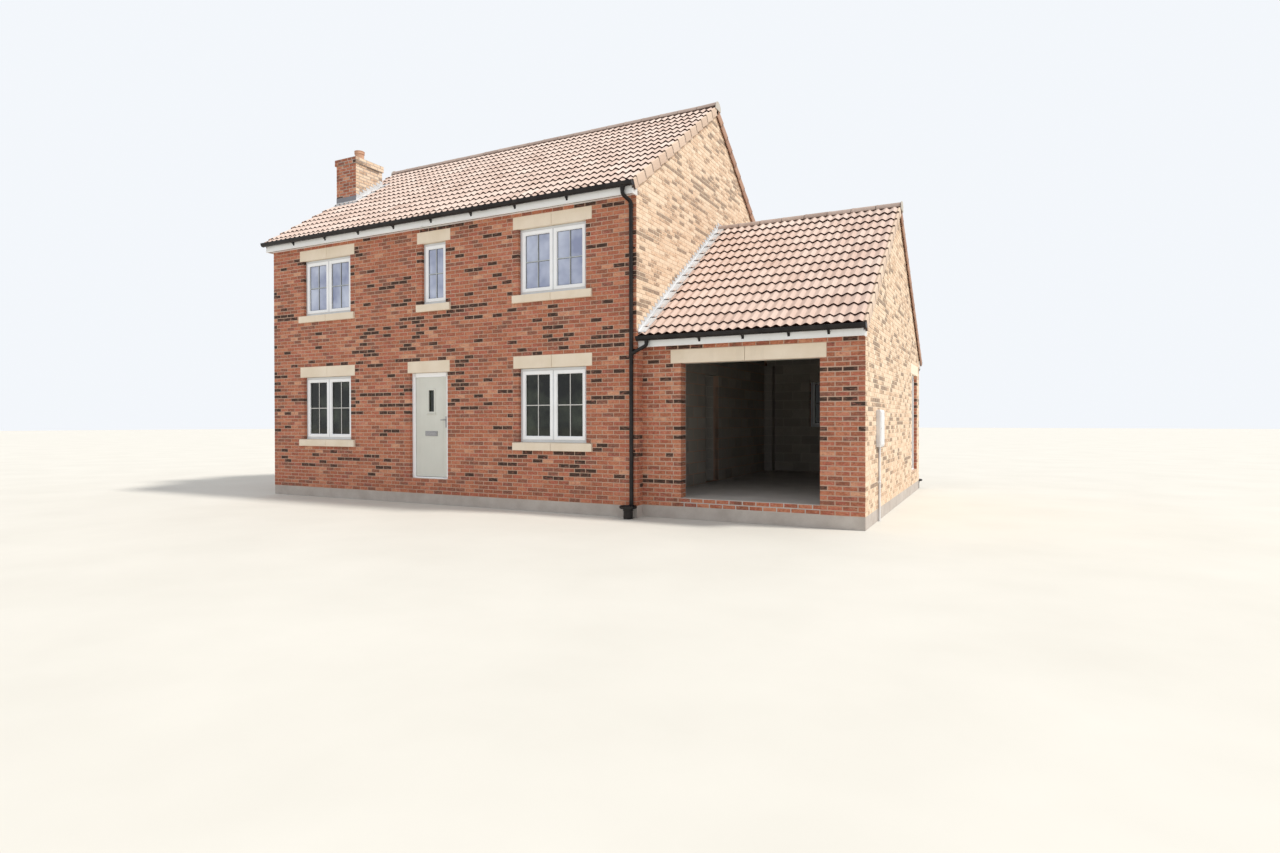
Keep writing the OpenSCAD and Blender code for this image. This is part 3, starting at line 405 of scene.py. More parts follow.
class Finish:
    """A material and the few nodes that every finish here is made of."""

    def __init__(self, name, roughness=0.6, metallic=0.0, gloss=None):
        self.material = bpy.data.materials.new(name)
        self.material.use_nodes = True
        self.tree = self.material.node_tree
        self.shader = next(n for n in self.tree.nodes if n.type == "BSDF_PRINCIPLED").inputs
        self.shader["Roughness"].default_value = roughness
        self.shader["Metallic"].default_value = metallic
        if gloss:
            self.shader["Specular IOR Level"].default_value = gloss
        self.place = self.node("ShaderNodeTexCoord").outputs["Object"]

    def node(self, kind, inputs=(), **settings):
        made = self.tree.nodes.new(kind)
        for key, value in settings.items():
            setattr(made, key, value)
        for socket, source in inputs:
            self.join(source, made.inputs[socket])
        return made

    def join(self, source, socket):
        if isinstance(source, (int, float)):
            socket.default_value = source
        elif isinstance(source, tuple):
            socket.default_value = (*source, 1.0)[:len(socket.default_value)]
        else:
            self.tree.links.new(source, socket)

    def noise(self, scale, detail=3.0, size=None, rough=0.55):
        place = self.place
        if size:
            place = self.node("ShaderNodeMapping", [("Scale", size), ("Vector", place)]).outputs["Vector"]
        settings = [("Scale", scale), ("Detail", detail), ("Roughness", rough), ("Vector", place)]
        return self.node("ShaderNodeTexNoise", settings).outputs["Fac"]

    def spread(self, value, low, high, to_low=0.0, to_high=1.0):
        ends = [("From Min", low), ("From Max", high), ("To Min", to_low), ("To Max", to_high),
                ("Value", value)]
        return self.node("ShaderNodeMapRange", ends).outputs["Result"]

    def maths(self, operation, a, b=0.0):
        return self.node("ShaderNodeMath", [(0, a), (1, b)], operation=operation).outputs[0]

    def plus(self, a, b):
        return self.maths("ADD", a, b)

    def times(self, a, b):
        return self.maths("MULTIPLY", a, b)

    def over(self, a, b):
        return self.maths("GREATER_THAN", a, b)

    def under(self, a, b):
        return self.maths("LESS_THAN", a, b)

    def mix(self, share, a, b):
        return self.node("ShaderNodeMix", [(0, share), (6, a), (7, b)], data_type="RGBA").outputs[2]

    def blend(self, value, a, b, low=0.3, high=0.7, share=1.0):
        """Goes from a towards b as the value goes from low to high."""
        return self.mix(self.spread(value, low, high, 0.0, share), a, b)

    def ramp(self, value, stops):
        made = self.node("ShaderNodeValToRGB", [("Fac", value)])
        band = made.color_ramp
        while len(band.elements) < len(stops):
            band.elements.new(0.5)
        for element, (position, colour) in zip(band.elements, stops):
            element.position = position
            element.color = (*colour, 1.0)
        return made.outputs["Color"]

    def tone(self):
        """The tone that each laid brick or tile carries."""
        return self.node("ShaderNodeAttribute", attribute_name="tone").outputs["Fac"]

    def axis(self, letter, of=None):
        return self.node("ShaderNodeSeparateXYZ", [(0, of or self.place)]).outputs[letter]

    def facing(self, letter):
        return self.axis(letter, self.node("ShaderNodeNewGeometry").outputs["Normal"])

    def colour(self, source):
        self.join(source, self.shader["Base Color"])

    def roughness(self, value, to_low, to_high, low=0.3, high=0.7):
        self.join(self.spread(value, low, high, to_low, to_high), self.shader["Roughness"])

    def bump(self, height, strength, distance):
        """The last step of a finish; gives back its material."""
        made = self.node("ShaderNodeBump",
                         [("Strength", strength), ("Distance", distance), ("Height", height)])
        self.join(made.outputs["Normal"], self.shader["Normal"])
        return self.material


def two_tone(name, roughness, cloud, dark, pale, bump, fine=None, gloss=None):
    """A finish clouded between two tones; its bump comes from the same noise or from a finer one."""
    f = Finish(name, roughness, gloss=gloss)
    clouds = f.noise(*cloud)
    f.colour(f.blend(clouds, dark, pale))
    return f.bump(f.noise(*fine) if fine else clouds, *bump)


def brick_finish():
    """Red facing brick: orange to brown, dark ones smudged with charcoal, and painted paler as sunlight on
    the faces turned to the sun.
    """
    f = Finish("red_facing_brick", 0.9, gloss=0.25)
    tone = f.tone()
    shade = f.plus(tone, f.spread(f.noise(9, 4, (1.0, 1.0, 2.2)), 0.3, 0.7, -0.10, 0.10))
    body = f.ramp(shade, [(0.00, (0.150, 0.066, 0.050)), (0.18, (0.200, 0.078, 0.055)),
                          (0.36, (0.31, 0.093, 0.050)), (0.58, (0.44, 0.138, 0.071)),
                          (0.80, (0.54, 0.200, 0.110)), (1.00, (0.68, 0.350, 0.215))])
    body = f.blend(f.noise(5, 2, (1.0, 1.0, 3.0)), body, (0.47, 0.105, 0.080), 0.50, 0.64, 0.5)
    sand = f.noise(260, 3)
    body = f.blend(sand, body, (0.60, 0.33, 0.22), 0.35, 0.75, 0.30)
    smear = f.noise(24, 5, (1.0, 1.0, 1.8), 0.7)
    body = f.blend(smear, body, (0.12, 0.056, 0.040), 0.52, 0.68, 0.65)
    body = f.mix(f.spread(smear, 0.32, 0.46, 0.6, 0.0), body, (0.60, 0.37, 0.25))
    smudge = f.noise(10, 4, (1.0, 1.0, 2.6), 0.65)
    charcoal = f.times(f.spread(tone, 0.10, 0.13, 1.0, 0.0), f.spread(smudge, 0.36, 0.50, 0.2, 0.96))
    body = f.mix(charcoal, body, (0.055, 0.034, 0.026))
    # painted sunlight: a paler, sandier ramp for the brick faces turned to the sun
    painted_sunlit = f.ramp(f.plus(shade, f.spread(smear, 0.44, 0.60, 0.06, -0.24)),
                      [(0.00, (0.33, 0.245, 0.185)), (0.14, (0.42, 0.31, 0.225)), (0.22, (0.62, 0.43, 0.295)),
                       (0.40, (0.73, 0.54, 0.38)), (0.60, (0.775, 0.615, 0.455)),
                       (1.00, (0.79, 0.66, 0.505))])
    f.colour(f.mix(painted_sunlight_mask(f), body, painted_sunlit))
    f.roughness(sand, 0.82, 0.98, 0.3, 0.8)
    return f.bump(f.plus(f.noise(70, 5, (1, 1, 2.5), 0.7), f.times(sand, 0.45)), 0.55, 0.004)


def painted_sunlight_mask(f):
    """Mask of the faces turned to the sun, on which a paler colour is painted as sunlight: the garage side,
    and above it all but the jambs of the front windows.
    """
    clear = f.maths("MAXIMUM", f.over(f.axis("X"), 4.55), f.over(f.axis("Y"), -3.5))
    high = f.times(clear, f.over(f.axis("Z"), 3.15))
    open_wall = f.maths("MAXIMUM", high, f.over(f.axis("X"), 8.2))
    return f.times(open_wall, f.spread(f.facing("X"), 0.5, 0.8))


def mortar_colour(f):
    grit = f.noise(420, 2)
    pale = f.blend(f.noise(1.4, 4), (0.50, 0.335, 0.245), (0.61, 0.43, 0.33))
    # painted sunlight: paler mortar on the faces turned to the sun
    pale = f.mix(painted_sunlight_mask(f), pale, (0.79, 0.67, 0.51))
    return f.blend(grit, pale, (0.40, 0.27, 0.20), 0.3, 0.75, 0.35), grit


def wall_core_finish(name, inner_x, inner_y, x_mid=0.0, y_mid=0.0):
    """Mortar outside; inside the rooms the same wall shows grey blocks."""
    f = Finish(name, 0.95)
    mortar, grit = mortar_colour(f)
    blocks = block_pattern(f)
    x = f.maths("ABSOLUTE", f.maths("SUBTRACT", f.axis("X"), x_mid))
    y = f.maths("ABSOLUTE", f.maths("SUBTRACT", f.axis("Y"), y_mid))
    f.colour(f.mix(f.times(f.under(x, inner_x), f.under(y, inner_y)), mortar, blocks))
    return f.bump(grit, 0.5, 0.002)


def block_pattern(f):
    """Grey concrete blocks with their joints, on both directions of wall."""
    run = f.plus(f.axis("X"), f.axis("Y"))
    row = f.maths("DIVIDE", f.maths("SUBTRACT", f.axis("Z"), 0.35), 0.225)
    shift = f.times(f.maths("FLOOR", f.maths("MODULO", f.plus(row, 100), 2.0)), 0.225)
    across = f.maths("FRACT", f.maths("DIVIDE", f.plus(run, f.plus(shift, 90.0)), 0.45))
    up = f.maths("FRACT", f.plus(row, 100))
    face = f.blend(f.noise(60, 4), (0.40, 0.375, 0.335), (0.52, 0.49, 0.445))
    face = f.blend(f.noise(1.1, 3), face, (0.33, 0.29, 0.25), 0.35, 0.65, 0.35)
    return f.mix(f.maths("MAXIMUM", f.under(across, 0.022), f.under(up, 0.044)), face, (0.56, 0.52, 0.46))


def concrete_block_finish():
    f = Finish("grey_concrete_block", 0.95)
    face = f.mix(f.tone(), (0.41, 0.37, 0.325), (0.55, 0.51, 0.45))
    pores = f.noise(110, 5, rough=0.7)
    f.colour(f.mix(f.spread(pores, 0.35, 0.6, 0.5, 0.0), face, (0.21, 0.185, 0.16)))
    return f.bump(pores, 0.7, 0.004)


def cast_stone_finish():
    """Smooth buff cast stone with faint clouds, sand grain and drip marks."""
    f = Finish("buff_cast_stone", 0.85)
    grain = f.noise(500, 2)
    body = f.blend(f.noise(2.5, 4), (0.80, 0.68, 0.53), (0.89, 0.775, 0.635))
    body = f.blend(grain, body, (0.60, 0.50, 0.37), 0.4, 0.8, 0.25)
    f.colour(f.blend(f.noise(7, 4, (1, 1, 0.25)), body, (0.56, 0.48, 0.38), 0.58, 0.8, 0.22))
    f.roughness(grain, 0.78, 0.92)
    return f.bump(grain, 0.25, 0.001)


def concrete_finish(name, dark, pale, scale=3.0):
    f = Finish(name, 0.92)
    cloud = f.noise(scale, 6, rough=0.65)
    grain = f.noise(180, 4)
    f.colour(f.blend(grain, f.blend(cloud, dark, pale), tuple(c * 0.55 for c in dark), 0.45, 0.8, 0.35))
    f.roughness(cloud, 0.86, 0.97)
    return f.bump(f.plus(grain, f.times(cloud, 2.0)), 0.4, 0.004)


def roof_tile_finish():
    """Sanded terracotta, each tile a little pinker or greyer than the next."""
    f = Finish("terracotta_roof_tile", 0.85)
    sand = f.noise(330, 3)
    body = f.ramp(f.plus(f.tone(), f.spread(f.noise(5, 4), 0.3, 0.7, -0.10, 0.10)),
                  [(0.0, (0.50, 0.36, 0.295)), (0.35, (0.60, 0.455, 0.385)), (0.7, (0.66, 0.52, 0.45)),
                   (1.0, (0.70, 0.58, 0.51))])
    body = f.blend(sand, body, (0.73, 0.62, 0.55), 0.4, 0.75, 0.4)
    body = f.mix(f.spread(f.axis("Z"), 5.50, 5.62, 0.35, 0.0), body, (0.60, 0.41, 0.33))
    f.colour(f.blend(f.noise(40, 5, rough=0.7), body, (0.40, 0.27, 0.21), 0.58, 0.75, 0.35))
    f.roughness(sand, 0.74, 0.94, 0.3, 0.8)
    return f.bump(sand, 0.35, 0.002)


def tile_nose_finish():
    """Dark brown ends and undersides: unsanded clay, painted much darker as the shade under each course."""
    return two_tone("dark_tile_nose", 0.9, (120, 4), (0.024, 0.0085, 0.0055), (0.048, 0.018, 0.012),
                    (0.4, 0.002), gloss=0.1)


def ridge_tile_finish():
    f = Finish("brown_ridge_tile", 0.85)
    sand = f.noise(300, 3)
    body = f.mix(f.tone(), (0.37, 0.28, 0.24), (0.47, 0.37, 0.32))
    body = f.blend(f.noise(7, 5), body, (0.30, 0.22, 0.185), 0.4, 0.7, 0.5)
    f.colour(f.blend(sand, body, (0.54, 0.44, 0.38), 0.4, 0.75, 0.35))
    return f.bump(sand, 0.35, 0.002)


def ridge_cap_finish():
    return two_tone("grey_beige_cap", 0.8, (8, 4), (0.44, 0.40, 0.35), (0.54, 0.50, 0.44), (0.2, 0.001),
                    (260, 2))


def verge_finish(name, dark, pale):
    f = Finish(name, 0.8)
    sand = f.noise(300, 3)
    sanded = tuple(min(0.75, c * 1.12) for c in pale)
    f.colour(f.blend(sand, f.mix(f.tone(), dark, pale), sanded, 0.4, 0.75, 0.35))
    return f.bump(sand, 0.3, 0.002)


def dark_joint_finish():
    """Grey-brown joints painted as shadow gaps, and the filler below the ridge tiles painted dark as the
    shade beneath them.
    """
    return two_tone("dark_joint", 0.9, (150, 4), (0.070, 0.045, 0.038), (0.125, 0.085, 0.072), (0.4, 0.002))


def bedding_finish():
    f = Finish("bedding_mortar", 0.95)
    body, grit = mortar_colour(f)
    f.colour(f.mix(0.45, body, (0.30, 0.26, 0.23)))
    return f.bump(grit, 0.6, 0.004)


def underlay_finish():
    """Dark underlay between rafters, as the roof shows from inside."""
    f = Finish("roof_underlay", 0.9)
    rafter = f.under(f.maths("FRACT", f.maths("DIVIDE", f.plus(f.axis("X"), 60.0), 0.6)), 0.075)
    wood = f.blend(f.noise(30, 4, (1, 0.08, 1)), (0.36, 0.24, 0.13), (0.46, 0.33, 0.19))
    felt = f.blend(f.noise(8, 3), (0.07, 0.07, 0.075), (0.11, 0.11, 0.115))
    f.colour(f.mix(rafter, felt, wood))
    return f.bump(f.plus(rafter, f.noise(90, 3)), 0.4, 0.006)


def frame_plastic_finish(name, shade):
    """White window plastic with a faint sheen and a little dust."""
    f = Finish(name, 0.38)
    dust = f.noise(3.5, 5)
    f.colour(f.blend(dust, shade, tuple(c * k for c, k in zip(shade, (0.90, 0.89, 0.87))), 0.4, 0.75, 0.5))
    f.roughness(dust, 0.32, 0.5)
    return f.bump(f.noise(160, 3), 0.05, 0.0005)


def board_finish():
    """White boards with rain streaks, and a painted shade that darkens the faces turned to the sun."""
    f = Finish("white_eaves_board", 0.42)
    dust = f.noise(1.2, 5)
    body = f.blend(dust, (0.89, 0.885, 0.87), (0.94, 0.94, 0.93), 0.35, 0.7)
    body = f.blend(f.noise(14, 4, (1, 1, 0.15)), body, (0.76, 0.74, 0.70), 0.55, 0.8, 0.25)
    # painted shade: faces turned to the sun (+X) are darkened
    f.colour(f.blend(f.facing("X"), body, (0.66, 0.655, 0.64), 0.5, 0.8))
    f.roughness(dust, 0.36, 0.52)
    return f.bump(f.noise(220, 2), 0.05, 0.0005)


def glazing_finish():
    """Panes painted dark below as the shade of the rooms behind, with a faint green painted reflection; the
    upper panes painted with a blue-grey sky reflection.
    """
    f = Finish("window_glass", 0.04, gloss=0.4)
    painted_reflection_cloud = f.noise(1.6, 3)
    lower = f.blend(painted_reflection_cloud, (0.008, 0.009, 0.007), (0.060, 0.072, 0.050), 0.42, 0.66)
    upper = f.blend(painted_reflection_cloud, (0.33, 0.37, 0.55), (0.66, 0.72, 0.88), 0.35, 0.65)
    # painted reflection and shade: dark below z 3.2, blue-grey above z 4.0
    f.colour(f.blend(f.axis("Z"), lower, upper, 3.2, 4.0))
    f.shader["Alpha"].default_value = 0.86
    return f.bump(f.noise(0.9, 2), 0.06, 0.01)


def bar_finish():
    """Glazing bars between the panes: pale below, and painted greyer above, where the upper panes' painted
    reflection lies over them.
    """
    f = Finish("glazing_bar_plastic", 0.45)
    dust = f.noise(9, 4)
    pale = f.blend(dust, (0.60, 0.585, 0.56), (0.70, 0.685, 0.66))
    grey = f.blend(dust, (0.42, 0.45, 0.47), (0.54, 0.57, 0.58))
    # painted reflection: the bars turn greyer between z 3.2 and 4.0
    f.colour(f.blend(f.axis("Z"), pale, grey, 3.2, 4.0))
    return f.bump(f.noise(160, 2), 0.05, 0.0005)


def seal_finish():
    return two_tone("black_glazing_seal", 0.6, (50, 3), (0.02, 0.02, 0.022), (0.05, 0.05, 0.052),
                    (0.1, 0.0005), (300, 2))


def door_paint_finish():
    """Pale grey-green moulded skin with a very fine timber grain."""
    f = Finish("pale_green_grey_door", 0.45)
    grain = f.noise(22, 5, (4.0, 4.0, 0.22), 0.65)
    body = f.blend(f.noise(1.5, 3), (0.645, 0.645, 0.585), (0.71, 0.71, 0.65))
    f.colour(f.blend(grain, body, (0.53, 0.53, 0.47), 0.5, 0.8, 0.2))
    f.roughness(grain, 0.4, 0.55)
    return f.bump(grain, 0.25, 0.0012)


def bright_metal_finish():
    f = Finish("satin_bright_metal", 0.3, 0.9)
    brush = f.noise(45, 4, (1, 1, 14))
    f.colour(f.blend(brush, (0.26, 0.255, 0.265), (0.40, 0.395, 0.40)))
    f.roughness(brush, 0.24, 0.42)
    return f.bump(brush, 0.06, 0.0004)


def black_plastic_finish():
    f = Finish("black_rainwater_plastic", 0.4, gloss=0.25)
    dust = f.noise(6, 5)
    f.colour(f.blend(dust, (0.011, 0.009, 0.009), (0.030, 0.025, 0.023), 0.40, 0.75))
    f.roughness(dust, 0.26, 0.42)
    return f.bump(f.noise(240, 2), 0.06, 0.0005)


def lead_finish(name, dark, pale):
    """Dressed lead: pale bloom, darker where it was rubbed."""
    f = Finish(name, 0.5, 0.25)
    bloom = f.noise(6, 6, rough=0.7)
    dents = f.noise(28, 4)
    f.colour(f.blend(dents, f.blend(bloom, dark, pale), tuple(c * 0.8 for c in dark), 0.55, 0.75, 0.35))
    f.roughness(bloom, 0.42, 0.66)
    return f.bump(dents, 0.35, 0.006)


def clay_finish():
    f = Finish("fired_clay_pot", 0.8)
    grain = f.noise(240, 3)
    body = f.blend(f.noise(9, 5), (0.50, 0.27, 0.17), (0.66, 0.40, 0.27))
    f.colour(f.blend(grain, body, (0.36, 0.20, 0.13), 0.45, 0.8, 0.3))
    return f.bump(grain, 0.3, 0.0015)


def deck_finish():
    return two_tone("chipboard_deck", 0.8, (70, 5, None, 0.75), (0.34, 0.23, 0.13), (0.52, 0.38, 0.23),
                    (0.3, 0.001))


def floor_finish():
    return two_tone("pale_floor", 0.9, (0.6, 4), (0.64, 0.62, 0.565), (0.68, 0.66, 0.605), (0.1, 0.004),
                    (12, 3))


# Brickwork

def spans_left(low, high, taken):
    """What is left of low to high once the taken spans are gone."""
    left = [(low, high)]
    for a, b in taken:
        left = [part for x0, x1 in left for part in ((x0, min(x1, a)), (max(x0, b), x1))
                if part[1] - part[0] > 0.02]
    return left


def stones(o, left=STONE_BEARING, right=STONE_BEARING, under=SILL_BEARING):
    """An opening with the bearings of its lintel and its sill."""
    return (*o, left, right, under)


def cut_by(openings, shift=0.0):
    """Tells the spans of a course that openings and their stones take up, on a face that starts at shift."""
    def taken(z0, z1):
        spans = []
        level = (z0 + z1) / 2
        for middle, width, bottom, head, left, right, under in openings:
            x0, x1 = middle - width / 2 - shift, middle + width / 2 - shift
            if bottom < level < head:
                spans.append((x0 + 0.002, x1 - 0.002))
            elif head < level < head + LINTEL_H and left:
                spans.append((x0 - left - 0.007, x1 + right + 0.007))
            elif bottom - SILL_H < level < bottom and under:
                spans.append((x0 - under - 0.007, x1 + under + 0.007))
        return spans
    return taken


def bond(length, course, corner_left, corner_right, anchor_right=False):
    """Brick spans of one course in stretcher bond, with half bricks where no corner takes them up."""
    half = BRICK.y + JOINT
    own = course % 2 == 0
    near, far = (corner_right, corner_left) if anchor_right else (corner_left, corner_right)
    bricks = [] if own or near else [(0.0, BRICK.y)]
    x = 0.0 if own else half
    end = length if own or not far else length - half
    while x < end - 0.03:
        bricks.append((x, min(x + BRICK.x, end)))
        x += BRICK.x + JOINT
    if end - bricks[-1][1] < 0.045:
        bricks[-1] = (bricks[-1][0], end)
    if anchor_right:
        bricks = [(length - b, length - a) for a, b in reversed(bricks)]
    return bricks


def cut_to(bricks, spans):
    """Bricks cut to the spans that are left for them, without slivers."""
    laid = []
    for x0, x1 in spans:
        row = [[max(a, x0), min(b, x1)] for a, b in bricks if min(b, x1) - max(a, x0) > 0.012]
        if not row:
            continue
        row[0][0], row[-1][1] = x0, x1
        for first, second in ((0, 1), (-1, -2)):
            if len(row) > 1 and row[first][1] - row[first][0] < 0.07:
                low, high = min(row[first][0], row[second][0]), max(row[first][1], row[second][1])
                if high - low < 0.235:
                    row[second] = [low, high]
                    row.pop(first)
                else:
                    middle = (low + high) / 2
                    pair = [[low, middle - JOINT / 2], [middle + JOINT / 2, high]]
                    row[first], row[second] = pair if first == 0 else reversed(pair)
        laid += [tuple(b) for b in row]
    return laid


last_tone = [0.5]


def brick_tone(course):
    """Tone of the next brick; dark ones often lie side by side, and none in the lowest courses."""
    if course < 4:
        return chance.uniform(0.16, 0.84)
    dark_share = 0.30 if last_tone[0] < 0.12 else 0.10
    pick = chance.random()
    if pick < dark_share:
        tone = chance.uniform(0.0, 0.10)
    elif pick < dark_share + 0.13:
        tone = chance.uniform(0.16, 0.28)
    else:
        tone = min(0.98, max(0.28, chance.gauss(0.60, 0.19)))
    last_tone[0] = tone
    return tone


def brick_places(length, courses, origin, turn, taken, corners=(True, True), anchor_right=False,
                 depth=BRICK.y, first_own=0, limits=None):
    """Places of all bricks of a wall face, which runs from origin along its turned X and looks to its -Y."""
    places = []
    spin = Matrix.Rotation(turn, 3, "Z")
    for k in courses:
        z0, z1 = BASE + k * COURSE, BASE + (k + 1) * COURSE
        low, high = limits(z1) if limits else (0.0, length)
        if high - low < 0.05:
            continue
        left, right = (c and k < 72 for c in corners) if limits else corners
        bricks = bond(length, k + first_own, left, right, anchor_right)
        spans = spans_left(max(low, bricks[0][0]), min(high, bricks[-1][1]), taken(z0, z1))
        for x0, x1 in cut_to(bricks, spans):
            a = x0 - BRICK_PROUD if x0 < 0.001 else x0
            b = x1 + BRICK_PROUD if x1 > length - 0.001 else x1
            out = BRICK_PROUD + chance.uniform(-0.0008, 0.0012)
            place = Vector(((a + b) / 2, depth / 2 - out, z0 + COURSE / 2 + chance.uniform(-0.001, 0.001)))
            lean = turn + chance.uniform(-0.0012, 0.0012)
            places.append((Vector(origin) + spin @ place, ((b - a) / BRICK.x, depth / BRICK.y, 1.0),
                           (0.0, 0.0, lean), brick_tone(k)))
    return places


def brick_shape():
    """One brick with the arrises of its face worn off."""
    brick = block(-BRICK / 2, BRICK / 2)
    opened()
    bpy.ops.mesh.select_mode(type="FACE")
    inside = bmesh.from_edit_mesh(brick.data)
    for face in inside.faces:
        face.select_set(face.normal.y < -0.9)
    bmesh.update_edit_mesh(brick.data)
    bpy.ops.mesh.bevel(offset=0.0045, segments=1, affect="EDGES")
    put_down()
    return brick


def house_bricks(brick, finish):
    width, depth, courses = 2 * HALF_W, 2 * HALF_D, MAIN.gable_courses()
    openings = [stones(o) for o in HOUSE_WINDOWS]
    front_holes = cut_by([*openings, stones(FRONT_DOOR, DOOR_BEARING, DOOR_BEARING, 0)], -HALF_W)
    back_holes = cut_by([(-o[0], *o[1:]) for o in openings], -HALF_W)

    def chimney_foot(z0, z1):
        if z0 < chimney_start() - 0.001:
            return []
        return [(HALF_D - CHIMNEY_Y[1] - 0.012, HALF_D - CHIMNEY_Y[0] + 0.012)]

    def garage_inside(z0, z1):
        near = GARAGE.reach(z1 + ROOF_V)
        low, high = max(GARAGE_FRONT + GARAGE_WALL - 0.04, GARAGE_MID - near), GARAGE_MID + near
        return [(low + HALF_D, high + HALF_D)] if high > low else []

    gable = {"first_own": 1, "limits": MAIN.gable_span}
    for name, wall, more in (
            ("front_bricks", (width, range(72), (-HALF_W, -HALF_D, 0), 0.0, front_holes), {}),
            ("back_bricks", (width, range(72), (HALF_W, HALF_D, 0), HALF_TURN, back_holes), {}),
            ("left_gable_bricks", (depth, courses, (-HALF_W, HALF_D, 0), -QUARTER, chimney_foot), gable),
            ("right_gable_bricks", (depth, courses, (HALF_W, -HALF_D, 0), QUARTER, garage_inside), gable)):
        finished(name, [lay(brick, brick_places(*wall, **more))], finish, "brick")


def garage_bricks(brick, finish):
    doorway = cut_by([stones(GARAGE_DOORWAY, *GARAGE_BEARINGS, 0)], HALF_W)
    door = cut_by([stones(SIDE_DOOR, SIDE_BEARING, SIDE_BEARING, 0)], GARAGE_FRONT)
    window = cut_by([stones(REAR_HOLE)], -GARAGE_RIGHT)
    for name, wall, more in (
            ("garage_front_bricks", (GARAGE_W, range(37), (HALF_W, GARAGE_FRONT, 0), 0.0, doorway),
             {"corners": (False, True), "anchor_right": True, "depth": 0.2065}),
            ("garage_side_bricks",
             (2 * HALF_D, GARAGE.gable_courses(), (GARAGE_RIGHT, GARAGE_FRONT, 0), QUARTER, door),
             {"first_own": 1, "limits": GARAGE.gable_span}),
            ("garage_back_bricks", (GARAGE_W, range(38), (GARAGE_RIGHT, GARAGE_BACK, 0), HALF_TURN, window),
             {"corners": (True, False), "depth": 0.2})):
        finished(name, [lay(brick, brick_places(*wall, **more))], finish, "brick")


def chimney_start():
    """Height of the first whole course of the stack."""
    return BASE + math.floor((MAIN.z(CHIMNEY_Y[0]) - VERGE_DROP - BASE) / COURSE) * COURSE


def chimney_bricks(brick, finish):
    first = round((chimney_start() - BASE) / COURSE)
    last = round((CHIMNEY_TOP - BASE) / COURSE)
    whole = cut_by([])
    places = []
    for courses, out in ((range(first, last - 2), 0.0), (range(last - 2, last), CORBEL_OUT)):
        x0, x1 = CHIMNEY_X[0] - out, CHIMNEY_X[1] + out
        y0, y1 = CHIMNEY_Y[0] - out, CHIMNEY_Y[1] + out
        places += brick_places(x1 - x0, courses, (x0, y0, 0), 0.0, whole)
        places += brick_places(x1 - x0, courses, (x1, y1, 0), HALF_TURN, whole)
        places += brick_places(y1 - y0, courses, (x0, y1, 0), -QUARTER, whole, first_own=1)
        places += brick_places(y1 - y0, courses, (x1, y0, 0), QUARTER, whole, first_own=1)
    finished("chimney_bricks", [lay(brick, places)], finish, "brick")


def block_places(origin, turn, hole, span):
    """Places of the blocks of one inner wall face round its opening, in half bond from the floor up."""
    places = []
    spin = Matrix.Rotation(turn, 3, "Z")
    middle, width, bottom, head = hole
    for row in range(21):
        z0 = GARAGE_FLOOR_Z + row * BLOCK_COURSE
        low, high = span(z0 + BLOCK_COURSE)
        if high - low < 0.2:
            continue
        taken = [(middle - width / 2, middle + width / 2)] if bottom < z0 + BLOCK_COURSE / 2 < head else []
        for x0, x1 in spans_left(low, high, taken):
            x = -(BLOCK.x + JOINT) * ((row + 1) % 2) / 2
            while x < x1:
                a, b = max(x, x0), min(x + BLOCK.x, x1)
                if b - a > 0.05:
                    depth = BLOCK.y / 2 - 0.003 + chance.uniform(-0.001, 0.001)
                    place = Vector(((a + b) / 2, depth, z0 + BLOCK_COURSE / 2))
                    places.append((Vector(origin) + spin @ place, ((b - a) / BLOCK.x, 1, 1), (0, 0, turn),
                                   chance.random()))
                x += BLOCK.x + JOINT
    return places


def garage_blocks(finish):
    """Grey block walls inside the garage."""
    y_low, y_high = GARAGE_FRONT + GARAGE_WALL, GARAGE_BACK - GARAGE_WALL
    x_low, x_high = HALF_W, GARAGE_RIGHT - GARAGE_WALL
    head_z = GARAGE.z(HALF_D) - ROOF_V

    def under_slope(z1):
        near = GARAGE.reach(z1 + ROOF_V)
        return max(y_low, GARAGE_MID - near), min(y_high, GARAGE_MID + near)

    def house_side(z1):
        low, high = under_slope(z1)
        return low - y_low, min(high, HALF_D - GARAGE_WALL) - y_low

    def outer_side(z1):
        low, high = under_slope(z1)
        return y_high - high, y_high - low

    def back_side(z1):
        return 0.0, x_high - x_low if z1 < head_z + 0.1 else 0.0

    passage, window = (PASSAGE[0] - y_low, *PASSAGE[1:]), (GARAGE_WINDOW[0] - x_low, *GARAGE_WINDOW[1:])
    places = block_places((x_low, y_low, 0), QUARTER, passage, house_side)
    places += block_places((x_high, y_high, 0), -QUARTER, (y_high - SIDE_DOOR[0], *SIDE_DOOR[1:]), outer_side)
    places += block_places((x_low, y_high, 0), 0.0, window, back_side)
    stone = block(-BLOCK / 2, BLOCK / 2, 0.006)
    finished("garage_inner_blocks", [lay(stone, places)], finish, "concrete")
    thrown_away(stone)


# Stones

def lintel(o, left=STONE_BEARING, right=STONE_BEARING, joint=True):
    """One or two lintel stones over an opening, for a wall face at y = 0."""
    x0, x1 = o[0] - o[1] / 2 - left, o[0] + o[1] / 2 + right
    middle = (x0 + x1) / 2
    ends = [(x0, middle - 0.003), (middle + 0.003, x1)] if joint else [(x0, x1)]
    return [block((a, -0.005, o[3]), (b, 0.100, o[3] + LINTEL_H), 0.004, 2) for a, b in ends]


def sill(o, joint=True):
    """Sill with a weathered top and a drip groove below its nose."""
    x0, x1 = o[0] - o[1] / 2 - SILL_BEARING, o[0] + o[1] / 2 + SILL_BEARING
    z, foot = o[2], o[2] - SILL_H
    profile = [(-0.045, foot), (-0.036, foot), (-0.036, foot + 0.007), (-0.024, foot + 0.007), (-0.024, foot),
               (0.100, foot), (0.100, z - 0.001), (0.053, z - 0.001), (-0.045, z - 0.012)]
    ends = [(x0, o[0] - 0.003), (o[0] + 0.003, x1)] if joint else [(x0, x1)]
    return [along_x(profile, a, b, 0.003) for a, b in ends]


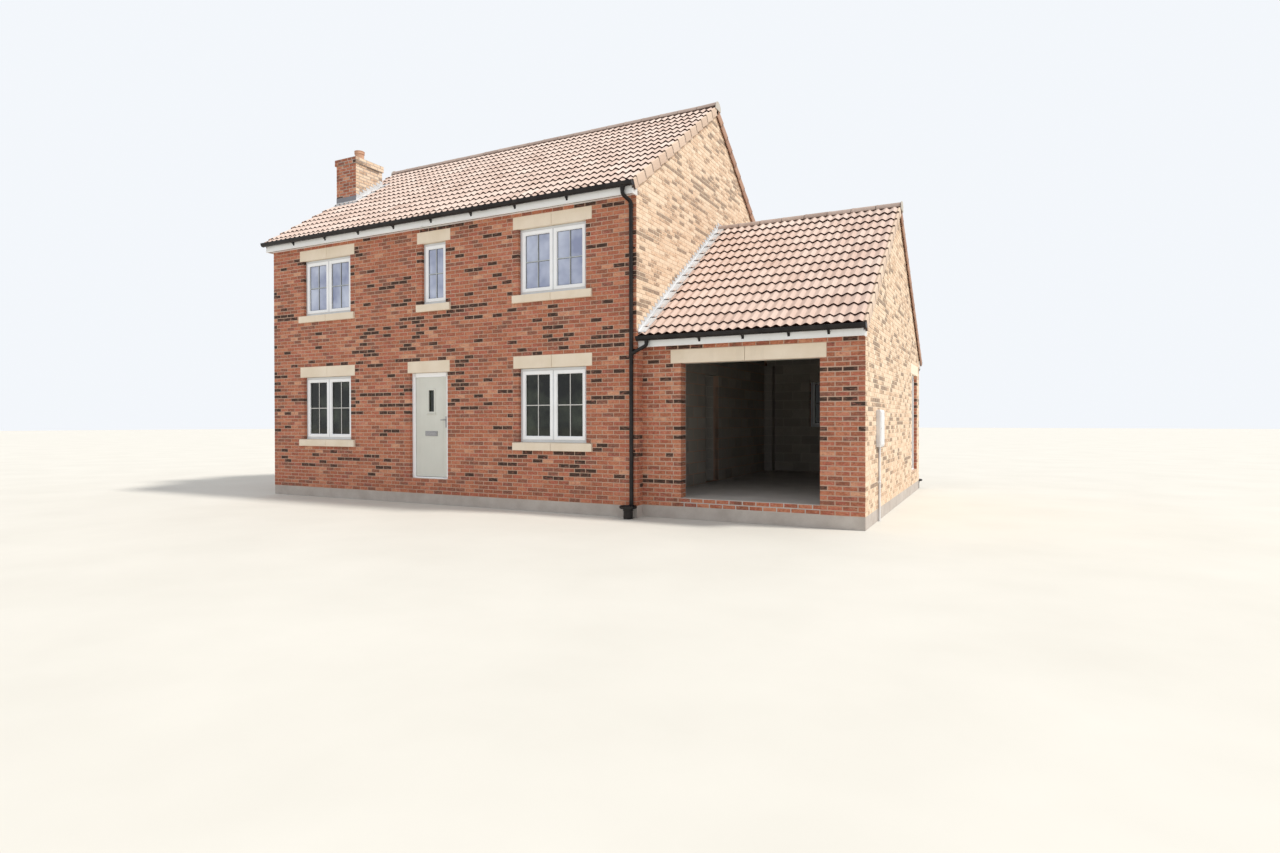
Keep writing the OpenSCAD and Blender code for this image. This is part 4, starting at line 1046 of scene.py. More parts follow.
def stonework(finish):
    """Stones of the front and their mirror images at the back, then those of the doors and the garage."""
    front, back = (0, (0, -HALF_D, 0)), (HALF_TURN, (0, HALF_D, 0))
    over = joined([s for o in HOUSE_WINDOWS for s in lintel(o, joint=o[1] > 1.0)])
    under = joined([s for o in HOUSE_WINDOWS for s in sill(o, o[1] > 1.0)])
    back_over, back_under = mirrored(copied(over)), mirrored(copied(under))
    lintels = [settle(over, *front), settle(back_over, *back)]
    sills = [settle(under, *front), settle(back_under, *back)]
    rear = HALF_TURN, (0, GARAGE_BACK, 0)
    lintels.append(settle(joined(lintel(FRONT_DOOR, DOOR_BEARING, DOOR_BEARING, False)), *front))
    lintels.append(settle(joined(lintel(GARAGE_DOORWAY, *GARAGE_BEARINGS)), 0, (0, GARAGE_FRONT, 0)))
    lintels.append(settle(joined(lintel(SIDE_DOOR, SIDE_BEARING, SIDE_BEARING, False)), QUARTER,
                          (GARAGE_RIGHT, 0, 0)))
    lintels.append(settle(joined(lintel(REAR_HOLE)), *rear))
    sills.append(settle(joined(sill(REAR_HOLE)), *rear))
    finished("lintel_stones", lintels, finish, "stone", ("stone_lintels",))
    finished("sill_stones", sills, finish, "stone", ("stone_sills",))


# Windows

FRAME_BAR, MULLION, SASH_BAR, SASH_LAP, BAR = 0.060, 0.052, 0.048, 0.012, 0.0085


def window_unit(width, height, finishes):
    """A casement window for an opening of this size: frame, casements, beads, seals, painted shadow strips,
    glazing bars and panes. Its sill is at z = 0 and the wall face at y = 0. Returns the joined plastic, the
    seals with the shadow strips and the panes."""
    lights = 2 if width > 1.0 else 1
    half, top = width / 2 - 0.004, height - 0.004
    low, high = FRAME_BAR, top - FRAME_BAR
    cell = (width - 0.008 - 2 * FRAME_BAR - (lights - 1) * MULLION) / lights
    inside = REVEAL + 0.070
    frame_parts = [ring((-half, 0.0), (half, top), FRAME_BAR, REVEAL, inside, 0.004)]
    if lights == 2:
        post = MULLION / 2
        frame_parts.append(block((-post, REVEAL, low - 0.01), (post, inside, high + 0.01), 0.003))
    sashes, bars, seals_and_shadow_strips, panes = [], [], [], []
    for i in range(lights):
        x = (i - (lights - 1) / 2) * (cell + MULLION)
        a, b = x - cell / 2, x + cell / 2

        def around(grow, bar, front, back, edge=0.0):
            return ring((a - grow, low - grow), (b + grow, high + grow), bar, REVEAL + front, REVEAL + back,
                        edge)

        sashes.append(around(SASH_LAP, SASH_BAR + SASH_LAP, -0.012, 0.060, 0.006))
        sashes.append(around(0.004 - SASH_BAR, 0.011, 0.004, 0.023, 0.003))
        seals_and_shadow_strips.append(around(-0.005 - SASH_BAR, 0.006, 0.014, 0.023))
        seals_and_shadow_strips.append(around(0.002, 0.006, -0.001, 0.004))
        ga, gb, gl, gh = a + SASH_BAR, b - SASH_BAR, low + SASH_BAR, high - SASH_BAR
        middle, centre = (ga + gb) / 2, (gl + gh) / 2
        face, rear = REVEAL + 0.012, REVEAL + 0.024
        bars.append(block((middle - BAR, face, gl), (middle + BAR, rear, gh), 0.003))
        bars.append(block((ga, face + 0.001, centre - BAR), (gb, rear, centre + BAR), 0.003))
        # painted shadow: a dark strip below the horizontal bar
        seals_and_shadow_strips.append(block((ga, face + 0.007, centre - BAR - 0.005),
                           (gb, rear - 0.001, centre - BAR + 0.001)))
        # painted shadow: dark strips along the inner left edge of each light and beside the vertical bar
        for edge in (ga, middle + BAR - 0.001):
            seals_and_shadow_strips.append(block((edge, face + 0.006, gl), (edge + 0.012, rear - 0.001, gh)))
        panes.append(block((ga - 0.006, REVEAL + 0.0235, gl - 0.006),
                           (gb + 0.006, REVEAL + 0.047, gh + 0.006)))
    # the outer frame takes the first finish, the greyer white painted as shade
    groups = zip((frame_parts, sashes, bars), finishes)
    plastic = [part for group, finish in groups for part in painted(group, finish)]
    return joined(plastic), joined(seals_and_shadow_strips), joined(panes)


def windows(plastics, seal_and_shadow_finish, glass):
    lower, upper = window_unit(1.450, 1.350, plastics), window_unit(1.450, 1.200, plastics)
    narrow = window_unit(0.620, 1.200, plastics)
    seals_and_shadow_strips, rear, rear_panes, panes = [], [], [], []

    def behind(unit, o, y):
        for group, part in zip((rear, seals_and_shadow_strips, rear_panes), unit):
            group.append(copied(part, HALF_TURN, (o[0], y, o[2])))

    for o, unit, name in ((LOWER_LEFT, lower, "lower_left_window"),
                          (LOWER_RIGHT, lower, "lower_right_window"),
                          (UPPER_LEFT, upper, "upper_left_window"),
                          (UPPER_CENTRE, narrow, "upper_centre_window"),
                          (UPPER_RIGHT, upper, "upper_right_window")):
        plastic, own_seals_and_shadow_strips, pane = (copied(part, 0, (o[0], -HALF_D, o[2])) for part in unit)
        finished(name + "_frame", [plastic], None, "white_frame", (name,))
        seals_and_shadow_strips.append(own_seals_and_shadow_strips)
        panes.append(pane)
        behind(unit, o, HALF_D)
    behind(upper, GARAGE_WINDOW, GARAGE_BACK)
    finished("back_window_frames", rear, None, "white_frame", ("back_windows",))
    finished("window_seals", seals_and_shadow_strips, seal_and_shadow_finish, "black_plastic")
    finished("front_window_panes", panes, glass, "glass", ("front_glass",))
    finished("back_window_panes", rear_panes, glass, "glass", ("back_glass",))
    thrown_away(*lower, *upper, *narrow)
    dress(glass, "front_door_glass")


# Doors

DOOR_BAR, DOOR_FRAME_D, STOP_T, STOP_W = 0.070, 0.090, 0.015, 0.014
DOOR_GAP, THRESHOLD, LEVER_Z = 0.005, 0.030, 1.120
LEAF_FACE, LEAF_LOW = STOP_T + DOOR_GAP, THRESHOLD + DOOR_GAP
HINGE_HEIGHTS = (0.200, 0.900, 1.600)


def door_size(o):
    """Width between the jambs, half width of the leaf and its top, from the doorway's middle and bottom."""
    inner_w = o[1] - 0.008 - 2 * DOOR_BAR
    return inner_w, inner_w / 2 - DOOR_GAP, o[3] - o[2] - 0.004 - DOOR_BAR - DOOR_GAP


def door_frame(o):
    """Frame with its rebate and a threshold, middle at x = 0 and its outer face at y = 0."""
    half, top = o[1] / 2 - 0.004, o[3] - o[2] - 0.004
    inner, head = half - DOOR_BAR, top - DOOR_BAR
    jamb = [(half, 0), (half, DOOR_FRAME_D), (inner, DOOR_FRAME_D), (inner, STOP_T), (inner - STOP_W, STOP_T),
            (inner - STOP_W, 0)]
    parts = [drawn([(side * x, y, 0) for x, y in jamb], (0, 0, top), 0.003) for side in (-1, 1)]
    bar = [(0, top), (DOOR_FRAME_D, top), (DOOR_FRAME_D, head), (STOP_T, head), (STOP_T, head - STOP_W),
           (0, head - STOP_W)]
    parts.append(along_x(bar, -inner - 0.001, inner + 0.001, 0.003))
    step = [(-0.018, 0), (DOOR_FRAME_D, 0), (DOOR_FRAME_D, THRESHOLD), (STOP_T, THRESHOLD),
            (0.0, THRESHOLD - 0.004), (-0.018, 0.012)]
    parts.append(along_x(step, -inner - 0.001, inner + 0.001, 0.002))
    for z in HINGE_HEIGHTS:
        x = -inner + DOOR_GAP / 2
        parts.append(block((x - 0.030, DOOR_FRAME_D, z), (x, DOOR_FRAME_D + 0.003, z + 0.040), 0.001))
        parts.append(knuckle(x, z))
    return parts


def knuckle(x, z):
    outline = [(0.0015, 0.0), (0.0055, 0.0), (0.006, 0.001), (0.006, 0.039), (0.0055, 0.040), (0.0015, 0.040)]
    return spun(outline, (x, DOOR_FRAME_D + 0.008, z), 16)


def lever_set(x, y, z, out):
    """Lever handle on a narrow plate with a keyhole rose; out is -1 for the outside and 1 for the inside."""
    y0, y1 = sorted((y, y + out * 0.008))
    plate = block((x - 0.015, y0, z - 0.110), (x + 0.015, y1, z + 0.110), 0.003, 2)
    far = y + out * 0.042
    lever = tube([(x, y, z + 0.040), (x, far, z + 0.040), (x - 0.105, far, z + 0.040)], 0.0095, 0.018, 5)
    rose = tube([(x, y, z - 0.055), (x, y + out * 0.012, z - 0.055)], 0.011, 0.001, 5)
    return [plate, lever, rose]


def leaf_fittings(inner_w):
    parts = []
    for z in HINGE_HEIGHTS:
        x = -inner_w / 2 + DOOR_GAP / 2
        parts.append(block((x, DOOR_FRAME_D, z + 0.0403), (x + 0.030, DOOR_FRAME_D + 0.003, z + 0.0803),
                           0.001))
        parts.append(knuckle(x, z + 0.0403))
    x = inner_w / 2 - DOOR_GAP - 0.036
    return parts + lever_set(x, LEAF_FACE, LEVER_Z, -1) + lever_set(x, DOOR_FRAME_D, LEVER_Z, 1)


def front_leaf(half, top):
    """Leaf round its light, with moulds round the light, a ledge below it, two ribs and a weather bar."""
    face, back, low = LEAF_FACE, DOOR_FRAME_D, LEAF_LOW
    slot_w, slot_low, slot_high = 0.075, 1.318, 1.757
    leaf = [block((-half, face, low), (-slot_w, back, top), 0.0015),
            block((slot_w, face, low), (half, back, top), 0.0015),
            block((-slot_w - 0.001, face, low), (slot_w + 0.001, back, slot_low)),
            block((-slot_w - 0.001, face, slot_high), (slot_w + 0.001, back, top))]
    mould = (-slot_w - 0.022, slot_low - 0.022), (slot_w + 0.022, slot_high + 0.022)
    for front, rear in ((face - 0.009, face + 0.001), (back - 0.001, back + 0.009)):
        leaf.append(ring(*mould, 0.030, front, rear, 0.004))
    ledge = [(face - 0.018, slot_low - 0.046), (face + 0.001, slot_low - 0.052),
             (face + 0.001, slot_low - 0.022), (face - 0.018, slot_low - 0.030)]
    leaf.append(along_x(ledge, -slot_w - 0.045, slot_w + 0.045, 0.003))
    for x in (-half + 0.110, half - 0.110):
        leaf.append(block((x - 0.004, face - 0.0022, low + 0.02), (x + 0.004, face + 0.001, top - 0.02),
                          0.0018))
    weather_bar = [(face - 0.016, low + 0.008), (face + 0.001, low + 0.004), (face + 0.001, low + 0.045),
                   (face - 0.006, low + 0.040)]
    leaf.append(along_x(weather_bar, -half + 0.012, half - 0.012, 0.002))
    return leaf


def front_door(paint, white, metal):
    inner_w, half, top = door_size(FRONT_DOOR)
    there = 0, (FRONT_DOOR[0], -HALF_D + REVEAL, FRONT_DOOR[2])
    leaf, fittings = front_leaf(half, top), leaf_fittings(inner_w)
    face, back = LEAF_FACE, DOOR_FRAME_D
    for front, rear, flap in ((face - 0.012, face, face - 0.014), (back, back + 0.012, back + 0.014)):
        fittings.append(ring((-0.1565, 0.843), (0.1565, 0.940), 0.020, front, rear))
        fittings.append(block((-0.137, min(flap, rear), 0.862), (0.137, max(front, flap) - 0.003, 0.921),
                              0.003, 2))
    for name, parts, finish, slot, node, body in (
            ("panel", leaf, paint, "front_door", "leaf", "front_door"),
            ("fittings", fittings, metal, "bright_metal", "furniture", "front_door"),
            ("surround", door_frame(FRONT_DOOR), white, "white_frame", "frame", "house")):
        finished("front_door_" + name, [settle(joined(parts), *there)], finish, slot,
                 ("front_door_" + node,), body)


def side_leaf(half, top):
    """Leaf with two raised panels in their moulds."""
    leaf = [block((-half, LEAF_FACE, LEAF_LOW), (half, DOOR_FRAME_D, top), 0.002)]
    rear = LEAF_FACE + 0.001
    for z0, z1 in ((LEAF_LOW + 0.14, 0.93), (1.07, top - 0.14)):
        leaf.append(ring((-half + 0.13, z0), (half - 0.13, z1), 0.030, LEAF_FACE - 0.006, rear, 0.004))
        leaf.append(block((-half + 0.185, LEAF_FACE - 0.004, z0 + 0.055), (half - 0.185, rear, z1 - 0.055),
                          0.0035))
    return leaf


def side_door(white, metal):
    inner_w, half, top = door_size(SIDE_DOOR)
    there = QUARTER, (GARAGE_RIGHT - REVEAL, SIDE_DOOR[0], SIDE_DOOR[2])
    for name, parts, finish, slot, node, body in (
            # white here is the darker copy of the plastic, painted as shade
            ("panel", side_leaf(half, top), white, "white_frame", "leaf", "side_door"),
            ("fittings", leaf_fittings(inner_w), metal, "bright_metal", "handle", "side_door"),
            ("surround", door_frame(SIDE_DOOR), white, "white_frame", "frame", "house")):
        piece = settle(mirrored(joined(parts)), *there)
        finished("side_door_" + name, [piece], finish, slot, ("side_door_" + node,), body)


# Roofs

def wave_height(t):
    """Height of the tile's double wave, a long rise and a steep fall; t counts waves."""
    t %= 1.0
    share = t / CREST if t < CREST else (1.0 - t) / (1.0 - CREST)
    return WAVE * (0.4 * share + 0.6 * (0.5 - 0.5 * math.cos(math.pi * share)))


def tile_shape(cover, face, nose):
    """One double-wave tile: a grid bent to its waves, then given its thickness. Its foot is at y = 0."""
    put_down()
    length = TILE_L + TILE_LAP
    bpy.ops.mesh.primitive_grid_add(x_subdivisions=16, y_subdivisions=1, size=1)
    tile = bpy.context.object
    tile.scale = (cover + 0.004, length, 1)
    settle(tile, 0, (cover / 2, length / 2, 0))
    for corner in tile.data.vertices:
        corner.co.z = wave_height(corner.co.x / cover * 2)
    thick = tile.modifiers.new("thickness", "SOLIDIFY")
    thick.thickness = TILE_THICK
    thick.offset = -1
    bpy.ops.object.modifier_apply(modifier=thick.name)
    smooth(tile, 40)
    tile.data.materials.append(face)
    tile.data.materials.append(nose)
    # ends and undersides take the nose finish, painted dark as the shade under each course
    for side in tile.data.polygons:
        if side.normal.y < -0.7 or side.normal.z < -0.3:
            side.material_index = 1
    return tile


def tile_places(roof, back, skip=None):
    """Places of the tiles of one slope; back turns the slope round."""
    places = []
    for foot, head in zip(roof.feet, roof.feet[1:]):
        z = roof.foot_z(foot, head)
        long = ((foot - head) / math.cos(SLOPE) + TILE_LAP) / (TILE_L + TILE_LAP)
        for column in range(roof.columns):
            x = roof.x0 + column * roof.cover
            if skip and skip(x, x + roof.cover, head, foot):
                continue
            jog = chance.uniform(-0.0015, 0.0015)
            tilt = TILE_TILT + chance.uniform(-0.003, 0.003)
            tone = min(1.0, max(0.0, chance.gauss(0.55, 0.19)))
            at = (x + roof.cover, roof.mid + foot, z + jog) if back else (x, roof.mid - foot, z + jog)
            places.append((Vector(at), (1, long, 1), (tilt, 0, HALF_TURN if back else 0), tone))
    return places


def roof_deck(roof, back):
    """Rafters, battens and underlay below the tiles, as one closed slab."""
    tip, face = -HALF_D - OVERHANG + 0.03, -HALF_D - FASCIA + 0.018
    sink = TILE_SINK + TILE_THICK + 0.004
    corners = ((tip, sink), (tip, TILE_V), (face, TILE_V), (face, ROOF_V), (0, ROOF_V), (0, sink))
    return along_x(roof.turned([(y, roof.z(y) - down) for y, down in corners], back), roof.x0, roof.x1)


def tiled_roof(name, roof, tile_finish, nose, deck, skip=None):
    tile = tile_shape(roof.cover, tile_finish, nose)
    for side, back in (("front", False), ("back", True)):
        places = tile_places(roof, back, None if back else skip)
        finished(f"{name}_{side}_tiles", [lay(tile, places)], None, "roof_tile", (f"{name}_roof_{side}",))
        finished(f"{name}_{side}_deck", [roof_deck(roof, back)], deck, "roof_tile")
    thrown_away(tile)


def in_chimney(xa, xb, near, far):
    return xa > CHIMNEY_X[0] - 0.01 and xb < CHIMNEY_X[1] and near > -CHIMNEY_Y[1] and far < -CHIMNEY_Y[0]


RIDGE_R, RIDGE_LENGTH, RIDGE_GAP = 0.125, 0.450, 0.010


def ridge_shape():
    """Half-round ridge tile with a thickened lip at one end, over y = 0 with its crown at z = 0."""
    spread = math.radians(80)
    section = []
    for i in range(24):
        angle = -spread + 2 * spread * (i if i < 12 else 23 - i) / 11
        radius = RIDGE_R if i < 12 else RIDGE_R - 0.017
        section.append((0, radius * math.sin(angle), radius * math.cos(angle) - RIDGE_R))
    arc = outlined(section, "NOTHING")
    bpy.ops.mesh.edge_face_add()
    body = RIDGE_LENGTH - 0.048 - RIDGE_GAP
    for run, swell in ((0.012, 1.0), (0.0005, 1.035), (0.030, 1.0), (0.006, 0.966), (body, 1.0)):
        pulled((run, 0, 0))
        if swell != 1.0:
            bpy.ops.transform.resize(value=(1, swell, swell), center_override=(0, 0, -RIDGE_R))
    closed()
    return smooth(arc)


def ridge_cap(x, y, crown):
    """Half-round end cap with straight sides below, on the face of the verge."""
    middle, radius = crown - RIDGE_R, RIDGE_R + 0.020
    arc = [(y + radius * math.cos(math.pi * i / 14),
            middle + radius * math.sin(math.pi * i / 14)) for i in range(15)]
    return along_x(arc + [(y - radius, middle - 0.040), (y + radius, middle - 0.040)], x, x + 0.018, 0.004)


def ridges(ridge_finish, filler, cap_finish):
    shape = ridge_shape()
    places, fillers = [], []
    for roof, x0 in ((MAIN, MAIN.x0 - VERGE_W), (GARAGE, HALF_W + 0.010)):
        x1, y, top = roof.x1 + VERGE_W, roof.mid, roof.z(0)
        count = round((x1 - x0) / RIDGE_LENGTH)
        length = (x1 - x0) / count
        for i in range(count):
            last = i == count - 1
            sag = 0.0 if last else chance.uniform(-0.003, 0.003)
            at = Vector((x0 + i * length + 0.002, y, top + roof.crown + sag))
            lean = -0.030 if last and roof is MAIN else 0.0
            places.append((at, (length / RIDGE_LENGTH, 1, 1), (0, lean, 0), chance.random()))
        middle = top + roof.crown - RIDGE_R
        # the filler under the ridge tiles takes the dark joint finish, painted as the shade below them
        core = [(-0.112, top - 0.115), (0, top - 0.040), (0.112, top - 0.115), (0.106, middle + 0.015),
                (0.075, middle + 0.075), (0, middle + 0.100), (-0.075, middle + 0.075),
                (-0.106, middle + 0.015)]
        fillers.append(along_x([(y + a, z) for a, z in core], x0 + 0.008, x1 - 0.008, 0.003))
    finished("ridge_run", [lay(shape, places)], ridge_finish, "ridge_tile", ("ridge_tiles",))
    finished("ridge_filler", fillers, filler, "ridge_tile")
    ends = ((MAIN, HALF_W + VERGE_W + 0.001), (MAIN, -HALF_W - VERGE_W - 0.019),
            (GARAGE, GARAGE_RIGHT + VERGE_W + 0.001))
    caps = [ridge_cap(x, roof.mid, roof.z(0) + roof.crown) for roof, x in ends]
    finished("ridge_end_caps", caps, cap_finish, "ridge_tile")
    thrown_away(shape)


def verge_shape(face, joint):
    """Right-hand verge unit: a last half roll of the tiles with a cheek that hangs over the gable.
    Its foot is at y = 0 and the gable face at x = 0."""
    outline = [(-0.014, -0.004), (-0.014, 0.002), (0.000, 0.007), (0.016, 0.017), (0.030, 0.022),
               (0.042, 0.018), (0.050, 0.006), (0.050, -0.150), (0.044, -0.156), (0.030, -0.156),
               (0.030, -0.100), (0.002, -0.100), (0.002, -0.004)]
    unit = smooth(drawn([(x, 0, z) for x, z in outline], (0, TILE_L + VERGE_LAP, 0), 0.003), 30)
    nose = block((0.028, -0.002, -0.159), (0.052, 0.016, 0.010), 0.004)
    # painted shadow: a dark strip at the foot of the unit, as the gap to the unit below
    line = block((0.010, -0.006, -0.157), (0.0525, 0.002, 0.012), 0.001)
    return joined(painted([unit, nose], face) + painted([line], joint))


def verge_places(roof, x, back, skip=None):
    places = []
    for foot, head in zip(roof.feet, roof.feet[1:]):
        if skip and skip(foot, head):
            continue
        lap = TILE_LAP if head > RIDGE_RUN else 0.0
        long = ((foot - head) / math.cos(SLOPE) + lap) / (TILE_L + VERGE_LAP)
        at = Vector((x, roof.mid + foot if back else roof.mid - foot, roof.foot_z(foot, head)))
        places.append((at, (1, long, 1), (TILE_TILT, 0, HALF_TURN if back else 0), chance.random()))
    return places


def verges(face, painted_shade_face, joint):
    # painted shade: the left-hand units, on the back slopes at the right gables and the front slope at the
    # left gable, take a brown copy of the verge finish
    right_hand, left_hand = verge_shape(face, joint), mirrored(verge_shape(painted_shade_face, joint))

    def at_chimney(foot, head):
        return -CHIMNEY_Y[1] < foot - 0.02 and head + 0.02 < -CHIMNEY_Y[0]

    def clear_of_house(foot, head):
        return head + GARAGE_MID < HALF_D - 0.1

    right = verge_places(MAIN, HALF_W, False) + verge_places(MAIN, -HALF_W, True)
    right += verge_places(GARAGE, GARAGE_RIGHT, False) + verge_places(GARAGE, HALF_W, True, clear_of_house)
    left = verge_places(MAIN, HALF_W, True) + verge_places(MAIN, -HALF_W, False, at_chimney)
    left += verge_places(GARAGE, GARAGE_RIGHT, True)
    finished("verge_run", [lay(right_hand, right), lay(left_hand, left)], None, "roof_tile", ("verge_tiles",))
    thrown_away(right_hand, left_hand)


# Rainwater

GUTTER_R, GUTTER_UP, GUTTER_OUT, GUTTER_OVER = 0.056, 0.020, 0.234, 0.050
PIPE_R, PIPE_OUT, PIPE_INSET = 0.034, 0.040, 0.083


def gutter_line(roof):
    """The (y, z) of the middle of a front gutter."""
    return -HALF_D - GUTTER_OUT, roof.z(HALF_D + OVERHANG) - TILE_V + 0.023 - GUTTER_UP


def gutter_profile(roof, grow, rise, thick):
    """Half-round section with straight sides, open at the top, outside the gutter's own by grow and rise."""
    y, z = gutter_line(roof)
    radius, up = GUTTER_R + grow, GUTTER_UP + rise
    turns = [math.pi * i / 14 for i in range(15)]
    outer = [(radius * math.cos(a), -radius * math.sin(a)) for a in turns]
    r = radius - thick
    inner = [(r * math.cos(a), -r * math.sin(a)) for a in reversed(turns)]
    section = [(radius, up), *outer, (-radius, up), (-r, up), *inner, (r, up)]
    return [(y + a, z + b) for a, b in section]


def gutter(roof, x0, x1):
    """One length of gutter for a front eaves, with its rolled lip, joints and stop ends."""
    y, z = gutter_line(roof)
    parts = [smooth(along_x(gutter_profile(roof, 0, 0, 0.003), x0, x1), 30)]
    lip = y - GUTTER_R + 0.002, z + GUTTER_UP - 0.002
    parts.append(tube([(x0, *lip), (x1, *lip)], 0.0045, 0.001, 3))
    lengths = max(1, round((x1 - x0) / 3.2))
    for i in range(1, lengths):
        x = x0 + (x1 - x0) * i / lengths
        parts.append(along_x(gutter_profile(roof, 0.006, 0.003, 0.006), x - 0.055, x + 0.055, 0.001))
    for end, inward in ((x0, 0.014), (x1, -0.014)):
        parts.append(along_x(gutter_profile(roof, 0.004, 0.004, 0.004)[:17], end, end + inward, 0.002))
    return parts


def bracket(roof, x):
    """Bracket below a gutter with its back plate on the fascia and a hook over the front lip."""
    y, z = gutter_line(roof)
    wall, low, lip = -HALF_D - FASCIA, z - GUTTER_R, y - GUTTER_R
    web = [(y + 0.010, low - 0.002), (wall, low - 0.048), (wall, z + 0.020),
           (y + GUTTER_R - 0.002, z + 0.010), (y + 0.045, z - 0.038)]
    return [along_x(gutter_profile(roof, 0.0035, -0.002, 0.0035), x - 0.014, x + 0.014),
            along_x(web, x - 0.016, x + 0.016, 0.002),
            block((x - 0.020, wall - 0.004, low - 0.055), (x + 0.020, wall, z + 0.030), 0.0015),
            block((x - 0.014, lip - 0.008, z + GUTTER_UP - 0.012),
                  (x + 0.014, lip + 0.006, z + GUTTER_UP + 0.004), 0.002)]


def gutters(finish):
    main = gutter(MAIN, -HALF_W - GUTTER_OVER, HALF_W + GUTTER_OVER)
    for inward in (1.270, 2.380, 3.390, 4.375, 5.360, 6.345, 7.330, 8.315):
        main += bracket(MAIN, HALF_W - inward)
    front = joined(main)
    back = settle(mirrored(copied(front)), HALF_TURN)
    low = gutter(GARAGE, HALF_W + 0.003, GARAGE_RIGHT + GUTTER_OVER)
    for inward in (0.500, 1.105, 1.840, 2.575):
        low += bracket(GARAGE, GARAGE_RIGHT - inward)
    garage = joined(low)
    centre = (HALF_W + GARAGE_RIGHT) / 2
    garage_back = mirrored(copied(garage), centre)
    settle(garage, 0, (0, GARAGE_MID, 0))
    settle(garage_back, HALF_TURN, (2 * centre, GARAGE_MID, 0))
    finished("gutter_runs", [front, back, garage, garage_back], finish, "black_plastic", ("gutters",))


def pipe_collar(x, y, z, tall=0.060, radius=0.0395):
    return spun([(PIPE_R - 0.004, 0), (radius - 0.002, 0), (radius, 0.003), (radius, tall - 0.010),
                 (radius + 0.003, tall - 0.007), (radius + 0.003, tall), (PIPE_R - 0.004, tall)], (x, y, z),
                20)


def pipe_clip(x, y, wall_y, z):
    """Clip round a pipe with two lugs bolted to the wall."""
    band = pipe_collar(x, y, z - 0.014, 0.028, 0.038)
    lug = block((x - 0.058, wall_y - 0.010, z - 0.013), (x + 0.058, wall_y + 0.001, z + 0.013), 0.002)
    neck = block((x - 0.022, y, z - 0.011), (x + 0.022, wall_y, z + 0.011))
    bolt = [(0.0005, 0), (0.006, 0), (0.006, 0.022), (0.0005, 0.022)]
    bolts = [spun(bolt, (x + side * 0.047, wall_y + 0.006, z), 8, (QUARTER, 0)) for side in (-1, 1)]
    return [band, lug, neck, *bolts]


def gully(x, y, z):
    """Dish with a rim and a grating on a riser from the ground."""
    dish = spun([(0.0, z - 0.016), (0.142, z - 0.016), (0.1495, z - 0.006), (0.1495, z + 0.019),
                 (0.145, z + 0.025), (0.138, z + 0.025), (0.134, z + 0.019), (0.128, z + 0.002),
                 (0.0, z - 0.001)], (x, y, 0), 40)
    riser = spun([(0.0, 0.0), (0.080, 0.0), (0.080, z - 0.060), (0.088, z - 0.054), (0.088, z - 0.014),
                  (0.0, z - 0.014)], (x, y, 0))
    starts = [y - 0.060 + i * 0.020 for i in range(5)]
    return [dish, riser,
            *(block((x - 0.055, a, z - 0.001), (x + 0.055, a + 0.008, z + 0.006), 0.001) for a in starts)]


def outlet(place, inner, spigot, rim, low):
    """Outlet of a gutter above a pipe."""
    return spun([(inner, low), (spigot, low), (spigot, -0.010), (rim, 0.010), (inner, 0.010)], place, 20)


def downpipe(roof, x):
    """Swan-neck downpipe for a front eaves, with its collars, clips and gully."""
    out_y, gutter_z = gutter_line(roof)
    wall_y, top = -HALF_D - PIPE_OUT, gutter_z - GUTTER_R
    knee, elbow, foot = roof.soffit - 0.035, roof.soffit - 0.115, BASE - 0.010
    high_x, tall = x - 0.058, elbow - foot
    run = [(high_x, out_y, top + 0.012), (high_x, out_y, knee), (x, wall_y, elbow), (x, wall_y, foot)]
    parts = [tube(run, PIPE_R, 0.055), outlet((high_x, out_y, top), PIPE_R - 0.004, 0.040, 0.050, -0.050),
             pipe_collar(x, wall_y, elbow - 0.105), pipe_collar(x, wall_y, foot + tall * 0.5)]
    count = round(tall / 1.5)
    for i in range(count):
        parts += pipe_clip(x, wall_y, -HALF_D, foot + (i + 0.5) * tall / count + 0.08)
    return parts + gully(x, -HALF_D - 0.156, foot)


def garage_branch():
    """Short swan neck from the garage gutter into the main downpipe."""
    top = gutter_line(GARAGE)[1] - GUTTER_R
    x, pipe_x = HALF_W + 0.190, HALF_W - PIPE_INSET
    out_y, wall_y = GARAGE_FRONT - GUTTER_OUT, -HALF_D - PIPE_OUT
    run = [(x, out_y, top + 0.010), (x, out_y, top - 0.078), (HALF_W + 0.040, wall_y, top - 0.155),
           (pipe_x, wall_y, top - 0.217)]
    return [tube(run, 0.031, 0.045), outlet((x, out_y, top), 0.028, 0.036, 0.046, -0.045),
            pipe_collar(pipe_x, wall_y, top - 0.290, 0.130, 0.040)]


def downpipes(finish):
    front = downpipe(MAIN, HALF_W - PIPE_INSET) + garage_branch()
    back = settle(joined(downpipe(MAIN, HALF_W - PIPE_INSET)), HALF_TURN)
    rear = settle(joined(downpipe(GARAGE, -GARAGE_RIGHT + PIPE_INSET)), HALF_TURN, (0, GARAGE_MID, 0))
    finished("rainwater_pipes", [*front, back, rear], finish, "black_plastic", ("downpipes",))


# Lead

def stepped_lead(roof, x, y0, y1, back=False, up=0.150):
    """Sheet against a brick face whose top is cut in leaning teeth that end in the bed joints."""
    profile = [(y1, roof.z(y1) + 0.012), (y0, roof.z(y0) + 0.012)]
    first = math.floor((roof.z(y0) + up - COURSE - BASE) / COURSE) + 1
    last = math.ceil((roof.z(y1) + up - BASE) / COURSE) - 1
    for k in range(first, last + 1):
        z = BASE + k * COURSE
        tip = max(y0, -roof.reach(z - up) - 0.040)
        if tip < y1 - 0.02:
            profile += [(tip, z), (min(y1, -roof.reach(z - up + COURSE)), z)]
    return along_x(roof.turned(profile, back), x, x + 0.008)


